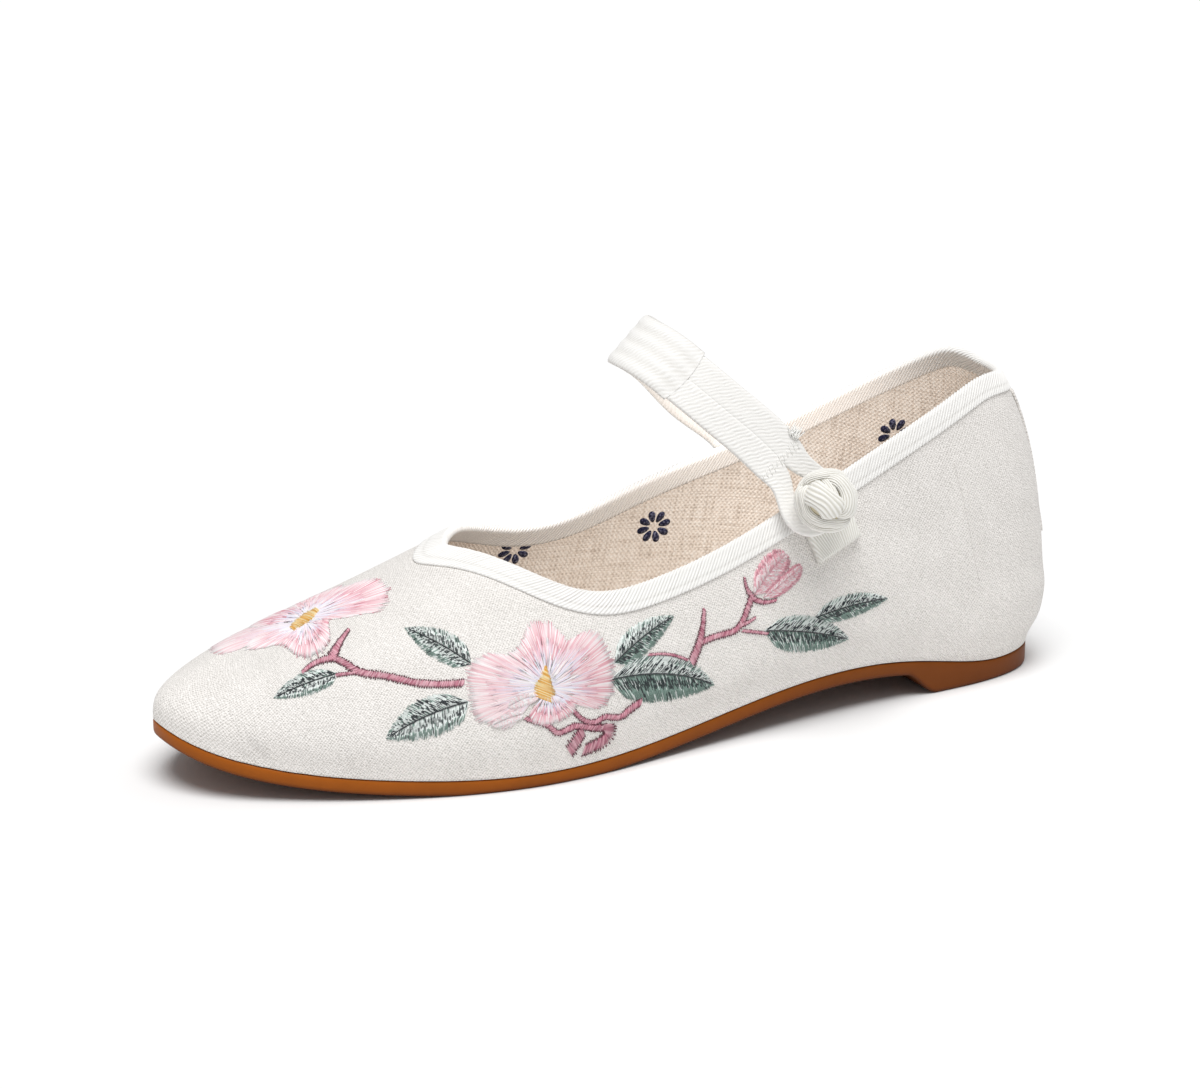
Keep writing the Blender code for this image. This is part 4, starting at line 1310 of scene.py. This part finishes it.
def sew_petal(work, base_start, base_end, order, rosy, edge):
    """Petal in long and short stitches that fan from its base to its outline, rosiest half way."""
    count = int(path_length(edge) / THREAD_PITCH)
    rim = curve_through(edge, count)
    shares = np.linspace(0, 1, count)[:, None]
    base = np.array(base_start) * (1 - shares) + np.array(base_end) * shares
    lift = PETAL_LIFT + PETAL_LIFT_STEP * order
    rose = PETAL_PINK * (1 - rosy) + PETAL_ROSE * rosy
    white = ((0.5, PETAL_PALE), (0.5, PETAL_LAVENDER))
    inner = ((0.4, PETAL_LAVENDER), (0.2, PETAL_PALE), (0.2, PETAL_PINK), (0.2, rose))
    rosiest = ((0.25, PETAL_PINK), (0.65, rose), (0.1, PETAL_PALE))
    pale = ((0.5, PETAL_PALE), (0.3, PETAL_PINK), (0.2, rose))
    layers = (
        (1.0, (0.4, 0.94), (0.66, 1.04), rosiest, pale),
        (0.85, (0.12, 0.5), (0.4, 0.85), inner, rosiest),
        (0.5, (-0.2, 0.2), (0.05, 0.55), white, inner),
    )
    for root, tip in zip(base, rim):
        for layer, (share, least, most, first, last) in enumerate(layers):
            if work.random.random() < share:
                start, end = work.random.uniform(least, most)
                ends = root + (tip - root) * np.array(((start,), (end,)))
                work.stitch(*ends, lift + LAYER_LIFT * layer, work.pick(first), work.pick(last))


def sew_flower(work, petals, heart, lobes=()):
    """Petals in the order they are sewn, white lobes at their foot, and the heart."""
    pale = ((0.6, PETAL_PALE), (0.4, PETAL_PINK))
    for petal in sorted(petals, key=lambda row: row[2]):
        sew_petal(work, *petal)
    for row in lobes:
        sew_leaf(work, row, ((pale, pale, pale),) * 2, 0.5, 0.5, 0.1, LOBE_LIFT)
    sew_heart(work, *heart)


def sew_leaf(work, row, looks, peak=0.42, blunt=0.6, slant=0.16, lift=LEAF_LIFT, midrib=None):
    """Leaf, bud or lobe in slanting stitches on both sides of a midrib.

    The looks of the upper and lower half are the colours of stitches that reach the edge, and of short, fine
    ones on top of them near the midrib and near the edge, each with the share of stitches that have it.
    """
    leaf = dict(zip(LEAF_COLUMNS, row))
    base = np.array((leaf["base_length"], leaf["base_height"]))
    tip = np.array((leaf["tip_length"], leaf["tip_height"]))
    run = tip - base
    length = np.linalg.norm(run)
    upward = np.array((-run[1], run[0])) / length
    upward = upward if upward[1] > 0 else -upward
    count = int(length / THREAD_PITCH)

    def middle(share):
        return base + run * share + upward * leaf["bow"] * 4 * share * (1 - share)

    def breadth(share):
        share = min(max(share, 0.0), 1.0)
        return (share / peak) ** blunt * ((1 - share) / (1 - peak)) ** (blunt * (1 - peak) / peak)

    for side, half, (under, near, far) in ((1, leaf["above"], looks[0]), (-1, leaf["below"], looks[1])):
        for place in range(count):
            share = (place + 0.5) / count
            out = min(max(share + slant * (1 - share * 0.6), 0.0), 0.995)
            root = middle(share)
            reach = middle(out) + upward * side * breadth(out) * half - root
            end = work.random.uniform(0.92, 1.08)
            work.stitch(root, root + reach * end, lift, work.pick(under))
            for first, colours in ((0.0, near), (0.18, near), (0.5, far)):
                start = first + work.random.uniform(0.0, 0.2)
                end = start + work.random.uniform(0.25, 0.45)
                ends = root + reach * np.array(((start,), (end,)))
                work.stitch(*ends, lift + LEAF_FINE_LIFT, work.pick(colours), width=FINE_THREAD)
    if midrib is not None:
        marks = np.linspace(0.02, 0.96, max(int(length / 2.2), 4))
        for first, second in zip(marks, marks[1:]):
            work.stitch(middle(first), middle(second + 0.01), lift + MIDRIB_LIFT, work.shade(midrib))


def sew_stem(work, widths, route, lift, colours, rim=None):
    """Stem or heart in short slanting satin stitches across its line, some with a painted shadow point at
    each end.
    """
    count = int(path_length(route) / THREAD_PITCH)
    line = curve_through(route, count)
    heading = unit(np.gradient(line, axis=0))
    across = np.stack((-heading[:, 1], heading[:, 0]), -1)
    breadths = np.interp(np.linspace(0, 1, count), np.linspace(0, 1, len(widths)), widths)
    for place in range(count):
        spot, breadth = line[place], breadths[place]
        half = (across[place] * breadth + heading[place] * min(breadth, 2.0) * 0.6) / 2
        half = half * work.random.uniform(0.85, 1.15)
        work.stitch(spot - half, spot + half, lift, work.pick(colours), work.pick(colours))
        # Painted shadow: short dark stitches at both ends of every second stitch
        if rim is not None and place % 2 == 0:
            for end in (-1, 1):
                work.stitch(spot + half * end * 0.85, spot + half * end * 1.4, lift, rim, width=RIM_THREAD)


def sew_heart(work, widths, route):
    """Gold heart of a flower, over a wider pale ground that fills the gaps where its petals meet."""
    ground = ((0.5, PETAL_PALE), (0.5, PETAL_LAVENDER))
    gold = ((0.6, HEART_GOLD), (0.4, HEART_PALE))
    sew_stem(work, [2 * width for width in widths], route, GROUND_LIFT, ground)
    sew_stem(work, widths, route, HEART_LIFT, gold)


def side_place(paths, side=OUTER):
    """Places on one side of the upper for millimetres along the sole and up the wall."""
    flat = paths.reshape(-1, 2)
    step = 0.5
    lengths = np.arange(0, SOLE_LENGTH, step)
    section = last_points(station_at(lengths)[:, None], np.linspace(0, 90, 240)[None, :], side)
    rise = rows_length(section)
    heights = np.arange(0, 60, step)
    grid = np.array([between(*column, heights) for column in zip(rise, section)])
    across = np.clip(flat[:, 0] / step, 0, len(lengths) - 1.001)
    up = np.clip(flat[:, 1] / step, 0, len(heights) - 1.001)
    column, row = across.astype(int), up.astype(int)
    right, above = (across - column)[:, None], (up - row)[:, None]
    low = grid[column, row] * (1 - right) + grid[column + 1, row] * right
    high = grid[column, row + 1] * (1 - right) + grid[column + 1, row + 1] * right
    return (low * (1 - above) + high * above).reshape(paths.shape[:-1] + (3,))


def toe_place(skin, paths):
    """Places on the toe for millimetres from the toe and toward the inner side."""
    return skin.below(paths - (SOLE_LENGTH / 2, 0.0))


# Front edge of the heel counter, in millimetres from the toe and up the wall, and the length of a stitch
COUNTER_LINE = ((208.6, 54.0), (209.1, 46.5), (209.6, 39.7), (210.3, 33.1), (211.2, 26.4), (211.9, 22.5))
COUNTER_STITCH = 1.5


def make_counter_seams(skin, floss):
    """Row of fine stitches along the front edge of the heel counter, on both sides."""
    line = curve_through(COUNTER_LINE, int(path_length(COUNTER_LINE) / COUNTER_STITCH))
    for name, side in (("counter_seam_outer", OUTER), ("counter_seam_inner", INNER)):
        seam = Embroidery(skin, partial(side_place, side=side))
        for start, end in zip(line, line[1:]):
            # Painted shade: the stitches are a little darker than the cotton, for the shade along the raised
            # line
            seam.stitch(start, end, 0.1, COTTON * 0.93, width=0.5)
        seam.make(name, floss)


def make_embroidery(skin, floss):
    """Flowers, leaves, stems and bud on the outer side, and the flower on the toe."""
    bud = ((0.6, BUD_PINK), (0.4, PETAL_PINK))
    gleam = ((0.45, PETAL_PINK), (0.3, PETAL_PALE), (0.25, BUD_PINK))
    blush = ((0.4, BUD_ROSE), (0.6, BUD_PINK))
    mint = ((0.8, LEAF_MINT), (0.2, LEAF_GREEN))
    green = ((0.85, LEAF_GREEN), (0.15, LEAF_MINT))
    dark = ((0.55, LEAF_SLATE), (0.45, LEAF_MINT))
    mixed = ((0.25, LEAF_SLATE), (0.55, LEAF_MINT), (0.2, LEAF_GREEN))
    darkest = ((0.7, LEAF_SLATE), (0.2, LEAF_GREEN), (0.1, LEAF_MINT))
    dull = ((0.1, LEAF_SLATE), (0.15, LEAF_MINT), (0.75, LEAF_GREEN))
    rose = ((0.45, STEM_ROSE), (0.4, STEM_PALE), (0.15, STEM_DEEP))
    flower = Embroidery(skin, side_place)
    sew_flower(flower, SIDE_PETALS, SIDE_HEART, SIDE_LOBES)
    for row in BUDS:
        sew_leaf(flower, row, ((bud, gleam, blush),) * 2, 0.6, 0.5, 0.25)
    flower.make("embroidered_flower", floss)
    foliage = Embroidery(skin, side_place)
    for row in LEAVES:
        lower = (mint, dark, dull) if row in PALE_LEAVES else (green, darkest, dull)
        sew_leaf(foliage, row, ((mint, dark, mixed), lower), midrib=LEAF_SLATE * 0.7)
    foliage.make("embroidered_leaves", floss)
    stems = Embroidery(skin, side_place)
    for start_width, end_width, route in STEMS:
        sew_stem(stems, (start_width, end_width), route, STEM_LIFT, rose, STEM_END_PAINTED_SHADOW)
    stems.make("embroidered_stems", floss)
    toe = Embroidery(skin, partial(toe_place, skin))
    sew_flower(toe, TOE_PETALS, TOE_HEART)
    toe.make("embroidered_toe_flower", floss)


# Camera of the photograph: its bearing and height round the middle of the shoe, and where that middle sits
# in the frame
CAMERA_TURN = 26.4
CAMERA_RISE = 17.1
CAMERA_DISTANCE = 900.0
CAMERA_TARGET = Vector((-2.3, 2.0, 35.0))
CAMERA_LENS = 107.6
CAMERA_SENSOR = 36.0
FRAME_RIGHT = 10.6 / 1200
FRAME_DOWN = 36.8 / 1200


def make_camera():
    turn, rise = math.radians(CAMERA_TURN), math.radians(CAMERA_RISE)
    back = Vector((-math.sin(turn) * math.cos(rise), -math.cos(turn) * math.cos(rise), math.sin(rise)))
    data = bpy.data.cameras.new("camera")
    data.lens = CAMERA_LENS
    data.sensor_width = CAMERA_SENSOR
    data.shift_x = -FRAME_RIGHT
    data.shift_y = FRAME_DOWN
    data.clip_start = 0.01
    camera = bpy.data.objects.new("camera", data)
    camera.location = (CAMERA_TARGET + back * CAMERA_DISTANCE) * MM
    camera.rotation_mode = "QUATERNION"
    camera.rotation_quaternion = (-back).to_track_quat("-Z", "Y")
    bpy.context.scene.collection.objects.link(camera)
    bpy.context.scene.camera = camera


# Even sky, and one broad sun from above
FLOOR_REACH = 6.0
SKY_LIGHT = 0.33
SUN_LIGHT = 2.65
SUN_SPREAD = 42.0
SUN_FROM = Vector((-0.12, -0.25, 1.0))
LAMP_SPREAD = 120.0
# Small lamps that light single pieces: energy in watts, colour, and size, place and aim in millimetres
LINING_LAMP = (0.074, (1.0, 1.0, 1.0), (160.0, 60.0), (25.0, -80.0, 130.0), (25.0, 30.0, 45.0))
STRAP_LAMP = (0.0098, (1.0, 0.91, 0.85), (120.0, 12.0), (28.0, -8.0, 74.0), (28.0, 40.0, 53.0))


def add_lamp(light, place, away):
    """Lamp at a place in millimetres, which shines away from a direction."""
    lamp = bpy.data.objects.new(light.name, light)
    lamp.location = place * MM
    lamp.rotation_mode = "QUATERNION"
    lamp.rotation_quaternion = away.to_track_quat("Z", "Y")
    lamp.visible_camera = False
    bpy.context.scene.collection.objects.link(lamp)
    return lamp


def make_stage():
    """Pale floor, even sky and one broad soft light from above."""
    scene = bpy.context.scene
    mesh = bpy.data.meshes.new("floor")
    corners = [(x * FLOOR_REACH, y * FLOOR_REACH, 0) for x, y in ((-1, -1), (1, -1), (1, 1), (-1, 1))]
    mesh.from_pydata(corners, [], [(0, 1, 2, 3)])
    mesh.materials.append(floor_material())
    floor = bpy.data.objects.new("floor", mesh)
    scene.collection.objects.link(floor)
    scene.world = bpy.data.worlds.new("sky")
    scene.world.use_nodes = True
    sky = scene.world.node_tree.nodes["Background"]
    sky.inputs["Color"].default_value = (1.0, 1.0, 1.0, 1.0)
    sky.inputs["Strength"].default_value = SKY_LIGHT
    sun = bpy.data.lights.new("sun", "SUN")
    sun.energy = SUN_LIGHT
    sun.angle = math.radians(SUN_SPREAD)
    add_lamp(sun, Vector(), SUN_FROM)
    scene.view_settings.view_transform = "Standard"


def light_only(pieces, energy, colour, size, place, aim):
    """Small soft lamp that lights only these pieces, and is shaded only by them."""
    light = bpy.data.lights.new("small_light", "AREA")
    light.energy = energy
    light.color = colour
    light.shape = "RECTANGLE"
    light.spread = math.radians(LAMP_SPREAD)
    light.size, light.size_y = size[0] * MM, size[1] * MM
    lamp = add_lamp(light, Vector(place), Vector(place) - Vector(aim))
    lit = bpy.data.collections.new("lit")
    for piece in pieces:
        lit.objects.link(piece)
    lamp.light_linking.receiver_collection = lit
    lamp.light_linking.blocker_collection = lit


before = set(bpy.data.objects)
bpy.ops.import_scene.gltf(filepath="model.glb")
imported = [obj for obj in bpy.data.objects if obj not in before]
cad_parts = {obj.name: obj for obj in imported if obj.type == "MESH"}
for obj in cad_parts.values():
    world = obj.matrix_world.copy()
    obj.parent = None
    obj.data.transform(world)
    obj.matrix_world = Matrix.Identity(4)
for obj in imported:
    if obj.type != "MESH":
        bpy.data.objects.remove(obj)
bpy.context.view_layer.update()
make_camera()
make_stage()
skin, cotton, lining = make_upper()
twill, ribbed, satin, floss = (thread(*row) for row in THREADS)
prints = make_prints()
collar = make_binding(skin, twill)
make_back_strip(skin, cotton)
strap = Strap(skin)
band = make_strap_band(strap, ribbed)
loop = make_button_loop(strap, ribbed)
make_strap_stitches(strap, satin)
make_knot(skin, satin)
make_tab(skin, satin)
make_outsole(rubber("amber_rubber"))
make_insole(lining.data.materials[0])
make_embroidery(skin, floss)
make_counter_seams(skin, floss)
light_only((lining, prints), *LINING_LAMP)
light_only((collar, band, loop), *STRAP_LAMP)
